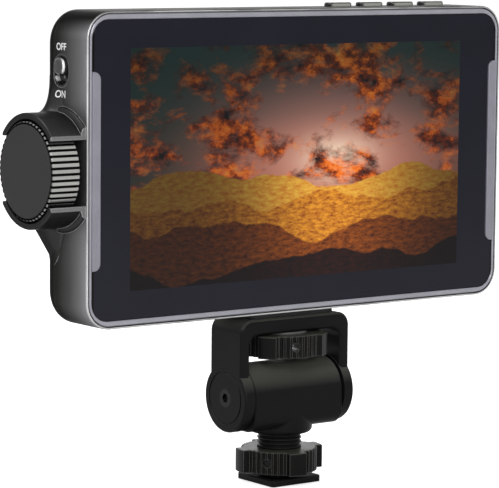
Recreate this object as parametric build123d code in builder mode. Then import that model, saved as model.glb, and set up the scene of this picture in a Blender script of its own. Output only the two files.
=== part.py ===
from build123d import *
import math
import os

# Camera-top video monitor on a tilting cold shoe mount. Millimetres throughout.
# X runs to the right of somebody facing the screen, Y away from them and Z up.
# The origin is the middle of the shoe foot's underside.

# Lit picture and the dark border of glass round it
picture_width = 121.76
picture_height = 68.49
picture_shift_x = -0.75
picture_shift_z = 0.0
side_border = 13.72         # picture's edge to the rim, when the picture is centred
edge_border = 8.155

# Monitor body, as seen from the front
rim_side = 0.75             # rim's front face at the sides
rim_edge = 1.4              # rim's front face at the top and bottom
rim_corner = 6.9
rim_thickness = 1.6
rim_chamfer = 0.2
rim_groove = 0.4            # dark line between the rim and the housing's lip
lip_width = 0.5             # lip of the housing round the rim
lip_depth = 0.15            # rim's front face to the lip
body_depth = 26.0
mount_depth = 10.6          # front face to the vertical axis of the mount
shoulder_radius = 0.3
rear_round = 9.5
round_step = 0.02           # the rounded rear starts this far inside the side walls
side_wall = 2.2
rear_wall = 3.0
slip = 0.1                  # clearance round pieces that are laid into a seat
thread_play = 0.02          # clearance between a screw and its thread
run_play = 0.06             # radial clearance of a turning shaft

# Cover glass, side trims and what lies behind them
glass_thickness = 1.1
glass_recess = 0.2
glass_chamfer = 0.15        # also on the trims
trim_width = 2.7
trim_end = 14.5             # rim's inner edge to the end of a trim
trim_corner = 2.2
trim_proud = 0.2
shelf_width = 2.6           # ledge that carries the glass
shelf_thickness = 1.5
panel_border = 3.2
panel_thickness = 2.0
backlight_thickness = 3.0
chassis_thickness = 1.5
chassis_border = 1.5
chassis_tab = 16.0
chassis_slot_length = 30.0
chassis_slot_height = 8.0
unit_corner = 1.0
chassis_corner = 2.0
board_corner = 1.5
board_overhang = 6.24       # the main board is this much wider than the picture
board_shortfall = 2.49      # and this much lower
board_thickness = 1.6
board_standoff = 2.5
post_inset = 5.0
standoff_radius = 2.4
chip_side = 15.0
chip_height = 1.4
small_chip_width = 9.0
small_chip_height = 7.0
small_chip_shares = ((-0.2, 0.21), (-0.2, -0.03), (0.17, -0.27))
spreader_width = 46.0
spreader_height = 40.0
spreader_thickness = 1.5
fin_count = 9
fin_height = 3.0
fin_thickness = 0.8
ribbon_width = 18.0
ribbon_thickness = 0.25
ribbon_x = -30.0
ribbon_clearance = 0.6
ribbon_lap = 6.0

# Dial with its guard on the left wall
dial_depth = 13.3           # front face to the axis of the side controls
dial_drop = 0.15            # axis below the middle of the body
dial_radius = 14.0
dial_core_radius = 11.5
dial_face_radius = 13.2
dial_face_thickness = 0.8
dial_length = 8.9
dial_wall_gap = 2.95        # dial's inner end to the housing wall
dial_press = 0.8
dial_chamfer = 0.35
dial_face_edge = 0.2
dial_hub_radius = 5.0
dial_web = 2.0
rib_count = 51
rib_depth = 0.6
rib_gap = 0.45              # share of the circumference between the ribs
guard_outer = 16.4
guard_inner = 14.6
guard_length = 11.55
guard_edge = 0.5
guard_root = 1.5
guard_cut = 12.6            # axis to the flat cuts at the guard's front and back
guard_window = 9.3          # half height of the opening between those cuts
flare_rise = 7.0
flare_reach = 12.0
shaft_radius = 3.0
bushing_radius = 4.2
bushing_proud = 0.5
encoder_side = 12.0
encoder_length = 8.0
plunger_radius = 2.2
plunger_length = 2.0
encoder_floor = 1.0         # inner end of the encoder's bore to its back
shaft_edge = 0.3
core_wall = 1.5             # dial core's outer wall

# Power switch on the left wall
switch_rise = 27.66         # middle of the recess above the middle of the body
recess_width = 7.6
recess_height = 9.2
bezel_wall = 0.5
bezel_floor = 0.6
bezel_recess = 0.1
knob_radius = 2.5
knob_proud = 1.2
knob_gap = 0.1
knob_edge = 0.6
switch_travel = 2.6
stem_width = 1.8
stem_height = 1.4
stem_depth = 1.6
module_width = 6.0
module_height = 13.0
module_thickness = 4.2

# Buttons and light sensor on the top wall
button_count = 4
button_pitch = 12.1
button_first_x = 22.6
button_length = 9.4
button_width = 3.8
button_proud = 1.2
button_travel = 0.5
button_edge = 0.6
button_gap = 0.2
button_flange = 0.8
flange_thickness = 0.8
switch_side = 4.0
switch_height = 2.0
button_board_thickness = 1.0
button_board_width = 8.0
sensor_x = -17.3
sensor_radius = 1.6

# Rear cover with the battery plate
cover_border = 18.0         # outline of the housing to the cover
cover_corner = 5.0
cover_thickness = 1.4
cover_step = 3.0
cover_screw_radius = 1.0
cover_screw_head = 1.9
cover_screw_length = 6.0
cover_screw_height = 0.8    # head
cover_cross_length = 1.8
cover_cross_width = 0.45
cover_cross_depth = 0.5
board_screw_height = 1.2
plate_screw_height = 0.7
cover_post_radius = 2.6
vent_count = 9
vent_pitch = 3.6
vent_length = 16.0
vent_width = 1.6
plate_width = 40.0
plate_height = 50.0
plate_thickness = 3.0
plate_corner = 2.0
rail_height = 3.4
rail_wall = 2.0
rail_lip = 1.4
rail_lip_thickness = 1.2
rail_length = 34.0
rail_drop = -3.0
contact_count = 3
contact_pitch = 5.2
contact_width = 2.0
contact_length = 7.0
contact_height = 1.6
contact_rise = 14.0
plate_screw_x = 15.0
plate_screw_z = 19.0
plate_screw_length = 5.0
latch_width = 9.0
latch_height = 5.0
latch_proud = 2.4
latch_travel = 1.6
latch_foot = 0.8
latch_foot_thickness = 0.9
latch_drop = -16.0          # latch below the middle of the plate
latch_pocket_depth = 2.4
latch_ramp = 1.2
spring_wire = 0.4
spring_radius = 0.75
spring_length = 4.0
spring_turns = 5

# Sockets on the right wall, from the top down
hdmi_width = 15.0
hdmi_height = 5.6
hdmi_length = 11.5
hdmi_opening_width = 14.0
hdmi_opening_height = 4.55
hdmi_input_rise = 24.5
hdmi_output_rise = -23.5
usb_width = 8.94
usb_height = 3.2
usb_length = 7.5
usb_shell = 0.3
usb_rise = 10.0
usb_tongue = 0.7            # thickness of the tongue, and the gap round its ends
usb_tongue_gap = 0.9
jack_width = 6.4
jack_height = 5.0
jack_length = 12.0
jack_bore = 1.75
jack_rise = 0.0
power_side = 9.0
power_length = 13.0
power_bore = 2.9
power_pin = 1.0
power_rise = -9.5
socket_lip = 0.2
socket_floor = 1.5          # closed back of a socket
power_corner = 0.5

# Threaded insert under the monitor, a quarter inch camera thread
insert_radius = 5.0
insert_length = 5.6
insert_bore = 3.175
insert_flange = 6.2
insert_flange_thickness = 1.0
insert_boss = 7.4

# Cold shoe foot, neck and lock wheel
foot_width = 18.1
foot_length = 18.0
foot_thickness = 1.9
foot_corner = 1.0
stem_radius = 6.0
shoe_gap = 1.4              # foot plate to the underside of the lock wheel
stem_top_above_gap = 0.9
neck_radius = 6.6
neck_core = 6.1
neck_pitch = 1.25
neck_flank = 0.45           # height of a thread's flank, below and above its crest
neck_sunk = 0.5
neck_spigot = 5.0
neck_spigot_length = 5.0
lock_wheel_height = 6.9
neck_show = 4.8             # thread that shows above the lock wheel
foot_screw_radius = 1.5
foot_screw_head = 3.0
foot_screw_length = 12.0
foot_cross_length = 2.6
foot_cross_width = 0.6
foot_cross_depth = 0.9
foot_edge = 0.3
screw_tip_gap = 0.5         # a screw's tip to the bottom of its hole
clamp_washer_margin = 0.05  # the clamp washer is this much smaller than half the foot
clamp_washer_thickness = 1.0
clamp_washer_proud = 0.3

# Wheels, both with four smooth lobes and fluted valleys between them
lock_lobe_radius = 13.4
lock_valley_radius = 11.4
thumb_lobe_radius = 14.2
thumb_valley_radius = 12.4
lobe_width = 5.6
lobe_count = 4
flute_radius = 0.55
flute_step = 9.0
wheel_edge = 0.2
lock_lobe_angle = -11.4
thumb_lobe_angle = 36.6
lock_pin_angle = -146.4
thumb_pin_angle = -104.0
wheel_pin_radius = 1.3
wheel_pin_length = 5.0
wheel_pin_inset = 1.2
wheel_pin_socket = 1.3      # hexagon socket across its flats
wheel_pin_socket_depth = 0.9

# Tilt barrel and yoke
barrel_radius = 9.9
barrel_length = 32.6
barrel_corner = 5.0         # the barrel's lower half is square with rounded corners
barrel_edge = 0.4
boss_radius = 9.85
boss_round = 1.5
boss_drop = 11.7            # boss underside to the tilt axis
friction_washer_radius = 9.0
friction_washer_thickness = 0.4
ear_gap = 0.1
ear_radius = 10.3
ear_edge = 0.7
yoke_width = 40.6
yoke_depth = 15.4
yoke_arm = 3.4
yoke_rise = 23.8            # tilt axis to the top of the yoke
yoke_bar = 4.7
yoke_corner = 4.2
window_corner = 3.2
yoke_edge = 0.6
tilt_screw_radius = 2.2
tilt_screw_length = 9.0
tilt_head_radius = 2.75
tilt_socket = 2.5
tilt_socket_depth = 0.9
disc_radius = 8.6
disc_thickness = 1.3
disc_groove_radius = 7.8
disc_groove = 0.25
pad_length = 31.0
pad_width = 13.0
pad_thickness = 1.8
pad_corner = 2.0
pad_hole_margin = 0.5
pad_gap = 0.05
bar_hole = 3.3

# Thumb wheel with the quarter inch screw
thumb_wheel_height = 6.65
thumb_washer_radius = 8.0
thumb_washer_thickness = 0.55
thumb_washer_gap = 0.05
mount_screw_radius = 3.1
mount_screw_engagement = 4.8
mount_screw_pitch = 1.27
screw_groove = 0.5          # depth and width of a groove of its thread
screw_groove_width = 0.9
cut_margin = 0.1            # cuts run this far past the surface

# Heights and depths that follow from the driving dimensions
wheel_bottom = foot_thickness + shoe_gap
wheel_top = wheel_bottom + lock_wheel_height
boss_bottom = wheel_top + neck_show
tilt_z = boss_bottom + boss_drop
yoke_top = tilt_z + yoke_rise
bar_bottom = yoke_top - yoke_bar
clamp_washer_radius = foot_width / 2 - clamp_washer_margin
opening_width = picture_width + 2 * side_border
opening_height = picture_height + 2 * edge_border
opening_corner = rim_corner - rim_edge
frame_width = opening_width + 2 * rim_side
frame_height = opening_height + 2 * rim_edge
housing_width = frame_width + 2 * (rim_groove + lip_width)
housing_height = frame_height + 2 * (rim_groove + lip_width)
housing_corner = rim_corner + rim_groove + lip_width
housing_bottom = yoke_top + pad_thickness
screen_z = housing_bottom + housing_height / 2
front_y = -mount_depth
rear_y = front_y + body_depth
housing_top = screen_z + housing_height / 2
left_x = -housing_width / 2
right_x = housing_width / 2
trim_height = opening_height - 2 * trim_end
board_width = picture_width + board_overhang
board_height = picture_height - board_shortfall
cover_width = housing_width - 2 * cover_border
cover_height = housing_height - 2 * cover_border
round_start = body_depth - rear_round
control_y = front_y + dial_depth
dial_z = screen_z - dial_drop
switch_z = screen_z + switch_rise
glass_back = glass_recess + glass_thickness
panel_back = glass_back + panel_thickness
backlight_back = panel_back + backlight_thickness
chassis_back = backlight_back + chassis_thickness
board_front = chassis_back + board_standoff
board_back = board_front + board_thickness
cover_inner = body_depth - rear_wall
inner_side = housing_width / 2 - side_wall
inner_top = housing_top - side_wall
dial_inner_x = left_x - dial_wall_gap
dial_outer_x = dial_inner_x - dial_length
guard_end_x = left_x - guard_length


def behind(depth, x=0.0, z=0.0):
    """Plane parallel to the screen, facing the viewer, depth behind the front face."""
    return Plane(origin=(x, front_y + depth, screen_z + z), x_dir=(1, 0, 0), z_dir=(0, -1, 0))


def left_of(x, z, y=control_y):
    """Plane across X that faces left, with its own Y up and its own X towards the viewer."""
    return Plane(origin=(x, y, z), x_dir=(0, -1, 0), z_dir=(-1, 0, 0))


def right_of(x, z=0.0, y=0.0):
    """Plane across X that faces right, with its own X away from the viewer."""
    return Plane(origin=(x, y, z), x_dir=(0, 1, 0), z_dir=(1, 0, 0))


def level(z, x=0.0, y=0.0):
    """Level plane at height z."""
    return Plane(origin=(x, y, z))


def rear_inset(radius, angle):
    """How far a rounded rear edge has drawn in, and how deep, at an angle round it."""
    return radius * (1 - math.cos(math.radians(angle))), radius * math.sin(math.radians(angle))


def rounded_back(offset, back_wall):
    """Stations of the rounded rear part as width, height, corner and depth behind the front."""
    radius = rear_round - offset
    end = math.degrees(math.asin((rear_round - back_wall) / radius))
    stations = []
    for share in (0.0, 0.25, 0.5, 0.75, 1.0):
        inset, depth = rear_inset(radius, end * share)
        drawn = round_step + offset + inset
        stations.append((housing_width - 2 * drawn, housing_height - 2 * drawn,
                         housing_corner - offset * 0.5 + inset * 0.3, round_start + depth))
    return stations


def guard_height(depth):
    """Height of the guard's outer face above its axis at a depth behind the front."""
    across = depth - dial_depth
    return math.sqrt(max(guard_outer ** 2 - across ** 2, 1.0))


def flare_section(depth, share, side):
    """Concave wedge between the side wall and the guard at one depth, above or below the axis."""
    drawn = 0.0
    if depth > round_start:
        drawn = rear_round - math.sqrt(rear_round ** 2 - min(depth - round_start, rear_round) ** 2)
    root_x = left_x + drawn
    near = guard_height(depth)
    far = near + flare_reach * share
    tip_x = root_x - flare_rise * share
    with BuildSketch(behind(depth, z=-dial_drop)) as section:
        with BuildLine():
            Bezier((root_x, side * far), (root_x, side * near), (tip_x, side * near))
            Polyline((tip_x, side * near), (tip_x, side * (near - 2.0)), (root_x + 1.0, side * (near - 2.0)),
                     (root_x + 1.0, side * far), (root_x, side * far))
        make_face()
    return section.sketch


def wheel_blank(lobe_radius, valley_radius, turn):
    """Outline of a lobed wheel with its fluted valleys."""
    with BuildSketch() as outline:
        Circle(valley_radius)
        with Locations(Rotation(0, 0, turn)):
            Rectangle(2 * lobe_radius, lobe_width)
            Rectangle(lobe_width, 2 * lobe_radius)
        Circle(lobe_radius, mode=Mode.INTERSECT)
        lobe_half = math.degrees(math.asin(lobe_width / 2 / valley_radius))
        flutes = int((360 / lobe_count - 2 * lobe_half) / flute_step)
        for lobe in range(lobe_count):
            middle = turn + (lobe + 0.5) * 360 / lobe_count
            for flute in range(flutes):
                angle = math.radians(middle + (flute - (flutes - 1) / 2) * flute_step)
                with Locations((valley_radius * math.cos(angle), valley_radius * math.sin(angle))):
                    Circle(flute_radius, mode=Mode.SUBTRACT)
    return outline.sketch


def pin_plane(angle, radius, z):
    """Plane that faces outwards on a wheel's radius."""
    out = (math.cos(math.radians(angle)), math.sin(math.radians(angle)), 0)
    return Plane(origin=(out[0] * radius, out[1] * radius, z), x_dir=(0, 0, 1), z_dir=out)


os.makedirs("parts", exist_ok=True)

# Cold shoe foot with the round stem that passes between the shoe's lips
with BuildPart() as shoe_foot:
    with BuildSketch():
        RectangleRounded(foot_width, foot_length, foot_corner)
    extrude(amount=foot_thickness)
    chamfer(shoe_foot.edges().group_by(Axis.Z)[-1], foot_edge)
    with BuildSketch(level(foot_thickness)):
        Circle(stem_radius)
    extrude(amount=shoe_gap + stem_top_above_gap)
    with Locations(level(0).rotated((180, 0, 0))):
        CounterSinkHole(foot_screw_radius + thread_play, foot_screw_head + thread_play)
shoe_foot.part.label = "shoe_foot"
export_step(shoe_foot.part, "parts/shoe_foot.step")

# Countersunk screw that holds the foot under the neck
foot_head_depth = foot_screw_head - foot_screw_radius
with BuildPart() as foot_screw:
    with BuildSketch(Plane.XZ):
        with BuildLine():
            Polyline((0, 0.0), (foot_screw_head, 0.0), (foot_screw_radius, foot_head_depth),
                     (foot_screw_radius, foot_screw_length), (0, foot_screw_length), close=True)
        make_face()
    revolve(axis=Axis.Z)
    with BuildSketch(level(0)):
        for turn in (0, 90):
            with Locations(Rotation(0, 0, turn)):
                Rectangle(foot_cross_length, foot_cross_width)
    extrude(amount=foot_cross_depth, mode=Mode.SUBTRACT)
foot_screw.part.label = "foot_screw"
export_step(foot_screw.part, "parts/foot_screw.step")

# Threaded neck between the foot and the tilt barrel, its thread cut as rings
neck_bottom = wheel_bottom + stem_top_above_gap
ring_count = int((boss_bottom - neck_bottom) / neck_pitch)
with BuildPart() as threaded_neck:
    with BuildSketch(level(neck_bottom)):
        Circle(neck_core)
    extrude(amount=boss_bottom - neck_bottom)
    for ring in range(ring_count):
        ring_bottom = boss_bottom - (ring + 1) * neck_pitch
        with BuildSketch(Plane.XZ):
            with BuildLine():
                Polyline((neck_core - neck_sunk, ring_bottom), (neck_core, ring_bottom),
                         (neck_radius, ring_bottom + neck_flank),
                         (neck_radius, ring_bottom + neck_pitch - neck_flank),
                         (neck_core, ring_bottom + neck_pitch),
                         (neck_core - neck_sunk, ring_bottom + neck_pitch), close=True)
            make_face()
        revolve(axis=Axis.Z)
    with BuildSketch(level(boss_bottom)):
        Circle(neck_spigot)
    extrude(amount=neck_spigot_length)
    with BuildSketch(level(neck_bottom)):
        Circle(foot_screw_radius + thread_play)
    extrude(amount=foot_screw_length - neck_bottom + screw_tip_gap, mode=Mode.SUBTRACT)
threaded_neck.part.label = "threaded_neck"
export_step(threaded_neck.part, "parts/threaded_neck.step")

# Tilt barrel, lying across, round above and square below, with a round boss over the neck
barrel_half = barrel_length / 2
with BuildPart() as tilt_barrel:
    with BuildSketch(right_of(-barrel_half, tilt_z)):
        with BuildLine():
            ThreePointArc((barrel_radius, 0), (0, barrel_radius), (-barrel_radius, 0))
            FilletPolyline((-barrel_radius, 0), (-barrel_radius, -barrel_radius),
                           (barrel_radius, -barrel_radius), (barrel_radius, 0), radius=barrel_corner)
        make_face()
    extrude(amount=barrel_length)
    chamfer(tilt_barrel.faces().filter_by(Axis.X).edges(), barrel_edge)
    with BuildSketch(level(boss_bottom)):
        Circle(boss_radius)
    extrude(amount=boss_drop)
    fillet(tilt_barrel.edges().group_by(Axis.Z)[0], boss_round)
    with BuildSketch(level(boss_bottom)):
        Circle(neck_spigot + slip / 2)
    extrude(amount=neck_spigot_length, mode=Mode.SUBTRACT)
    for side in (-1, 1):
        with BuildSketch(right_of(side * barrel_half, tilt_z)):
            Circle(tilt_screw_radius + thread_play)
        extrude(amount=-side * tilt_screw_length, mode=Mode.SUBTRACT)
tilt_barrel.part.label = "tilt_barrel"
export_step(tilt_barrel.part, "parts/tilt_barrel.step")

# Friction washers between the barrel's ends and the yoke's ears
with BuildPart() as tilt_friction_washers:
    for side in (-1, 1):
        with BuildSketch(right_of(side * barrel_half, tilt_z)):
            Circle(friction_washer_radius)
            Circle(tilt_screw_radius + slip, mode=Mode.SUBTRACT)
        extrude(amount=side * friction_washer_thickness)
tilt_friction_washers.part.label = "tilt_friction_washers"
export_step(tilt_friction_washers.part, "parts/tilt_friction_washers.step")

# Yoke: a bent frame over the thumb wheel, ending in two round ears
yoke_half = yoke_width / 2
arm_inner = yoke_half - yoke_arm
ear_inner = barrel_half + friction_washer_thickness + ear_gap
yoke_front = Plane(origin=(0, -yoke_depth / 2, tilt_z), x_dir=(1, 0, 0), z_dir=(0, -1, 0))
tilt_plane = Plane(origin=(0, 0, tilt_z), x_dir=(1, 0, 0), z_dir=(0, -1, 0))
tilt_axis = Axis((0, 0, tilt_z), (1, 0, 0))
with BuildPart() as yoke:
    with BuildSketch(yoke_front):
        with BuildLine():
            FilletPolyline((-yoke_half, 0), (-yoke_half, yoke_rise), (yoke_half, yoke_rise), (yoke_half, 0),
                           radius=yoke_corner)
            Line((yoke_half, 0), (arm_inner, 0))
            FilletPolyline((arm_inner, 0), (arm_inner, yoke_rise - yoke_bar),
                           (-arm_inner, yoke_rise - yoke_bar), (-arm_inner, 0), radius=window_corner)
            Line((-arm_inner, 0), (-yoke_half, 0))
        make_face()
    extrude(amount=-yoke_depth)
    chamfer(yoke.faces().filter_by(Axis.Y).edges(), yoke_edge)
    for side in (-1, 1):
        with BuildSketch(tilt_plane):
            with BuildLine():
                Polyline((side * (yoke_half - ear_edge), ear_radius), (side * ear_inner, ear_radius),
                         (side * ear_inner, 0), (side * yoke_half, 0),
                         (side * yoke_half, ear_radius - ear_edge))
                RadiusArc((side * (yoke_half - ear_edge), ear_radius),
                          (side * yoke_half, ear_radius - ear_edge), side * ear_edge)
            make_face()
        revolve(axis=tilt_axis)
    for side in (-1, 1):
        with BuildSketch(right_of(side * yoke_half, tilt_z)):
            Circle(disc_radius + slip / 2)
        extrude(amount=-side * disc_thickness, mode=Mode.SUBTRACT)
        with BuildSketch(right_of(side * yoke_half, tilt_z)):
            Circle(tilt_screw_radius + run_play)
        extrude(amount=-side * (yoke_half - ear_inner), mode=Mode.SUBTRACT)
    with BuildSketch(level(bar_bottom)):
        Circle(bar_hole)
    extrude(amount=yoke_bar, mode=Mode.SUBTRACT)
yoke.part.label = "yoke"
export_step(yoke.part, "parts/yoke.step")

# Grooved cover discs let into the ears
with BuildPart() as yoke_cover_discs:
    for side in (-1, 1):
        with BuildSketch(right_of(side * (yoke_half - disc_thickness), tilt_z)):
            Circle(disc_radius)
            Circle(tilt_head_radius + run_play, mode=Mode.SUBTRACT)
        extrude(amount=side * disc_thickness)
        with BuildSketch(right_of(side * yoke_half, tilt_z)):
            Circle(disc_groove_radius + disc_groove)
            Circle(disc_groove_radius - disc_groove, mode=Mode.SUBTRACT)
        extrude(amount=-side * disc_groove, mode=Mode.SUBTRACT)
yoke_cover_discs.part.label = "yoke_cover_discs"
export_step(yoke_cover_discs.part, "parts/yoke_cover_discs.step")

# Hexagon socket screws that the yoke tilts on
head_length = disc_thickness - ear_gap / 2
with BuildPart() as tilt_screws:
    for side in (-1, 1):
        head_outer = side * yoke_half
        with BuildSketch(right_of(head_outer, tilt_z)):
            Circle(tilt_head_radius)
        extrude(amount=-side * head_length)
        with BuildSketch(right_of(head_outer - side * head_length, tilt_z)):
            Circle(tilt_screw_radius)
        extrude(amount=-side * (yoke_half - head_length - barrel_half + tilt_screw_length - screw_tip_gap))
        with BuildSketch(right_of(head_outer, tilt_z)):
            RegularPolygon(tilt_socket / 2, 6, major_radius=False)
        extrude(amount=-side * tilt_socket_depth, mode=Mode.SUBTRACT)
tilt_screws.part.label = "tilt_screws"
export_step(tilt_screws.part, "parts/tilt_screws.step")

# Rubber pad between the yoke and the monitor
with BuildPart() as yoke_pad:
    with BuildSketch(level(yoke_top)):
        RectangleRounded(pad_length, pad_width, pad_corner)
        Circle(bar_hole + pad_hole_margin, mode=Mode.SUBTRACT)
    extrude(amount=pad_thickness - pad_gap)
yoke_pad.part.label = "yoke_pad"
export_step(yoke_pad.part, "parts/yoke_pad.step")

# Clamp washer let into the underside of the lock wheel
with BuildPart() as clamp_washer:
    with BuildSketch(level(wheel_bottom - clamp_washer_proud)):
        Circle(clamp_washer_radius)
        Circle(neck_radius + run_play, mode=Mode.SUBTRACT)
    extrude(amount=clamp_washer_thickness)
clamp_washer.part.label = "clamp_washer"
export_step(clamp_washer.part, "parts/clamp_washer.step")

# Lock wheel that screws down the neck onto the shoe
washer_seat = clamp_washer_thickness - clamp_washer_proud
with BuildPart() as lock_wheel:
    lock_blank = wheel_blank(lock_lobe_radius, lock_valley_radius, lock_lobe_angle)
    add(lock_blank.moved(Location((0, 0, wheel_bottom))))
    extrude(amount=lock_wheel_height)
    chamfer(lock_wheel.faces().filter_by(Axis.Z).edges(), wheel_edge)
    with BuildSketch(level(wheel_bottom)):
        Circle(neck_radius + run_play)
    extrude(amount=lock_wheel_height, mode=Mode.SUBTRACT)
    with BuildSketch(level(wheel_bottom)):
        Circle(clamp_washer_radius + slip)
    extrude(amount=washer_seat + slip / 2, mode=Mode.SUBTRACT)
    with BuildSketch(pin_plane(lock_pin_angle, lock_valley_radius, wheel_bottom + lock_wheel_height / 2)):
        Circle(wheel_pin_radius + thread_play)
    extrude(amount=-(lock_valley_radius - neck_radius), mode=Mode.SUBTRACT)
lock_wheel.part.label = "lock_wheel"
export_step(lock_wheel.part, "parts/lock_wheel.step")

# Nylon-tipped set screw in the lock wheel's rim
with BuildPart() as lock_wheel_set_screw:
    lock_pin_length = lock_valley_radius - neck_radius - wheel_pin_inset - run_play
    with BuildSketch(pin_plane(lock_pin_angle, lock_valley_radius - wheel_pin_inset,
                               wheel_bottom + lock_wheel_height / 2)):
        Circle(wheel_pin_radius)
    extrude(amount=-lock_pin_length)
lock_wheel_set_screw.part.label = "lock_wheel_set_screw"
export_step(lock_wheel_set_screw.part, "parts/lock_wheel_set_screw.step")

# Washer between the thumb wheel and the yoke
thumb_washer_top = bar_bottom - thumb_washer_gap
thumb_top = thumb_washer_top - thumb_washer_thickness
thumb_bottom = thumb_top - thumb_wheel_height
with BuildPart() as thumb_washer:
    with BuildSketch(level(thumb_top)):
        Circle(thumb_washer_radius)
        Circle(mount_screw_radius + run_play, mode=Mode.SUBTRACT)
    extrude(amount=thumb_washer_thickness)
thumb_washer.part.label = "thumb_washer"
export_step(thumb_washer.part, "parts/thumb_washer.step")

# Thumb wheel that turns the quarter inch screw
with BuildPart() as thumb_wheel:
    thumb_blank = wheel_blank(thumb_lobe_radius, thumb_valley_radius, thumb_lobe_angle)
    add(thumb_blank.moved(Location((0, 0, thumb_bottom))))
    extrude(amount=thumb_wheel_height)
    chamfer(thumb_wheel.faces().filter_by(Axis.Z).edges(), wheel_edge)
    with BuildSketch(level(thumb_bottom)):
        Circle(mount_screw_radius + thread_play)
    extrude(amount=thumb_wheel_height, mode=Mode.SUBTRACT)
    with BuildSketch(pin_plane(thumb_pin_angle, thumb_valley_radius, thumb_bottom + thumb_wheel_height / 2)):
        Circle(wheel_pin_radius + thread_play)
    extrude(amount=-(thumb_valley_radius - mount_screw_radius), mode=Mode.SUBTRACT)
thumb_wheel.part.label = "thumb_wheel"
export_step(thumb_wheel.part, "parts/thumb_wheel.step")

# Set screw that fixes the thumb wheel on its screw
with BuildPart() as thumb_wheel_set_screw:
    with BuildSketch(pin_plane(thumb_pin_angle, mount_screw_radius + thread_play + wheel_pin_length,
                               thumb_bottom + thumb_wheel_height / 2)):
        Circle(wheel_pin_radius)
    extrude(amount=-wheel_pin_length)
    with BuildSketch(pin_plane(thumb_pin_angle, mount_screw_radius + thread_play + wheel_pin_length,
                               thumb_bottom + thumb_wheel_height / 2)):
        RegularPolygon(wheel_pin_socket / 2, 6, major_radius=False)
    extrude(amount=-wheel_pin_socket_depth, mode=Mode.SUBTRACT)
thumb_wheel_set_screw.part.label = "thumb_wheel_set_screw"
export_step(thumb_wheel_set_screw.part, "parts/thumb_wheel_set_screw.step")

# Quarter inch screw, its thread cut as rings where it enters the monitor
screw_top = housing_bottom + mount_screw_engagement
thread_rings = int((screw_top - yoke_top) / mount_screw_pitch)
with BuildPart() as mount_screw:
    with BuildSketch(level(thumb_bottom)):
        Circle(mount_screw_radius)
    extrude(amount=screw_top - thumb_bottom)
    for ring in range(thread_rings):
        groove_top = screw_top - ring * mount_screw_pitch
        with BuildSketch(Plane.XZ):
            with BuildLine():
                Polyline((mount_screw_radius + cut_margin, groove_top),
                         (mount_screw_radius - screw_groove, groove_top - screw_groove_width / 2),
                         (mount_screw_radius + cut_margin, groove_top - screw_groove_width), close=True)
            make_face()
        revolve(axis=Axis.Z, mode=Mode.SUBTRACT)
mount_screw.part.label = "mount_screw"
export_step(mount_screw.part, "parts/mount_screw.step")

# Front frame: the pale rim round the glass and the ledge under it
shelf_front = glass_back
shelf_back = shelf_front + shelf_thickness
mouth_inset = side_wall + slip
shelf_opening_width = opening_width - 2 * shelf_width
shelf_opening_height = opening_height - 2 * shelf_width
shelf_corner = opening_corner - shelf_width / 2
with BuildPart() as front_frame:
    with BuildSketch(behind(0)):
        RectangleRounded(frame_width, frame_height, rim_corner)
        RectangleRounded(opening_width, opening_height, opening_corner, mode=Mode.SUBTRACT)
    extrude(amount=-rim_thickness)
    chamfer(front_frame.edges().group_by(Axis.Y)[0], rim_chamfer)
    with BuildSketch(behind(shelf_front)):
        RectangleRounded(opening_width, opening_height, opening_corner)
        RectangleRounded(shelf_opening_width, shelf_opening_height, shelf_corner, mode=Mode.SUBTRACT)
    extrude(amount=-(rim_thickness - shelf_front))
    with BuildSketch(behind(rim_thickness)):
        RectangleRounded(housing_width - 2 * mouth_inset, housing_height - 2 * mouth_inset,
                         housing_corner - mouth_inset)
        RectangleRounded(shelf_opening_width, shelf_opening_height, shelf_corner, mode=Mode.SUBTRACT)
    extrude(amount=-(shelf_back - rim_thickness))
front_frame.part.label = "front_frame"
export_step(front_frame.part, "parts/front_frame.step")

# Cover glass, notched at both sides for the trims
glass_width = opening_width - 2 * slip
glass_height = opening_height - 2 * slip
notch_centre = glass_width / 2 - trim_width / 2
with BuildPart() as cover_glass:
    with BuildSketch(behind(glass_recess)):
        RectangleRounded(glass_width, glass_height, opening_corner - slip)
        for side in (-1, 1):
            with Locations((side * (notch_centre + trim_width), 0)):
                RectangleRounded(3 * trim_width + 2 * slip, trim_height + 2 * slip, trim_corner + slip,
                                 mode=Mode.SUBTRACT)
    extrude(amount=-glass_thickness)
    chamfer(cover_glass.edges().group_by(Axis.Y)[0], glass_chamfer)
cover_glass.part.label = "cover_glass"
export_step(cover_glass.part, "parts/cover_glass.step")


def side_trim(side):
    """Outline of the raised trim in one of the glass's side notches."""
    outer = side * (glass_width / 2 + slip)
    inner = side * (glass_width / 2 - trim_width)
    half = trim_height / 2
    with BuildSketch(behind(-trim_proud)) as outline:
        with BuildLine():
            FilletPolyline((outer, -half), (inner, -half), (inner, half), (outer, half), radius=trim_corner)
            Line((outer, half), (outer, -half))
        make_face()
    return outline.sketch


with BuildPart() as left_trim:
    extrude(side_trim(-1), amount=-(trim_proud + glass_back))
    chamfer(left_trim.edges().group_by(Axis.Y)[0], glass_chamfer)
left_trim.part.label = "left_trim"
export_step(left_trim.part, "parts/left_trim.step")

with BuildPart() as right_trim:
    extrude(side_trim(1), amount=-(trim_proud + glass_back))
    chamfer(right_trim.edges().group_by(Axis.Y)[0], glass_chamfer)
right_trim.part.label = "right_trim"
export_step(right_trim.part, "parts/right_trim.step")

# Display panel and the backlight unit behind it
panel_width = picture_width + 2 * panel_border
panel_height = picture_height + 2 * panel_border
with BuildPart() as display_panel:
    with BuildSketch(behind(glass_back, picture_shift_x, picture_shift_z)):
        Rectangle(panel_width, panel_height)
    extrude(amount=-panel_thickness)
display_panel.part.label = "display_panel"
export_step(display_panel.part, "parts/display_panel.step")

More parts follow.
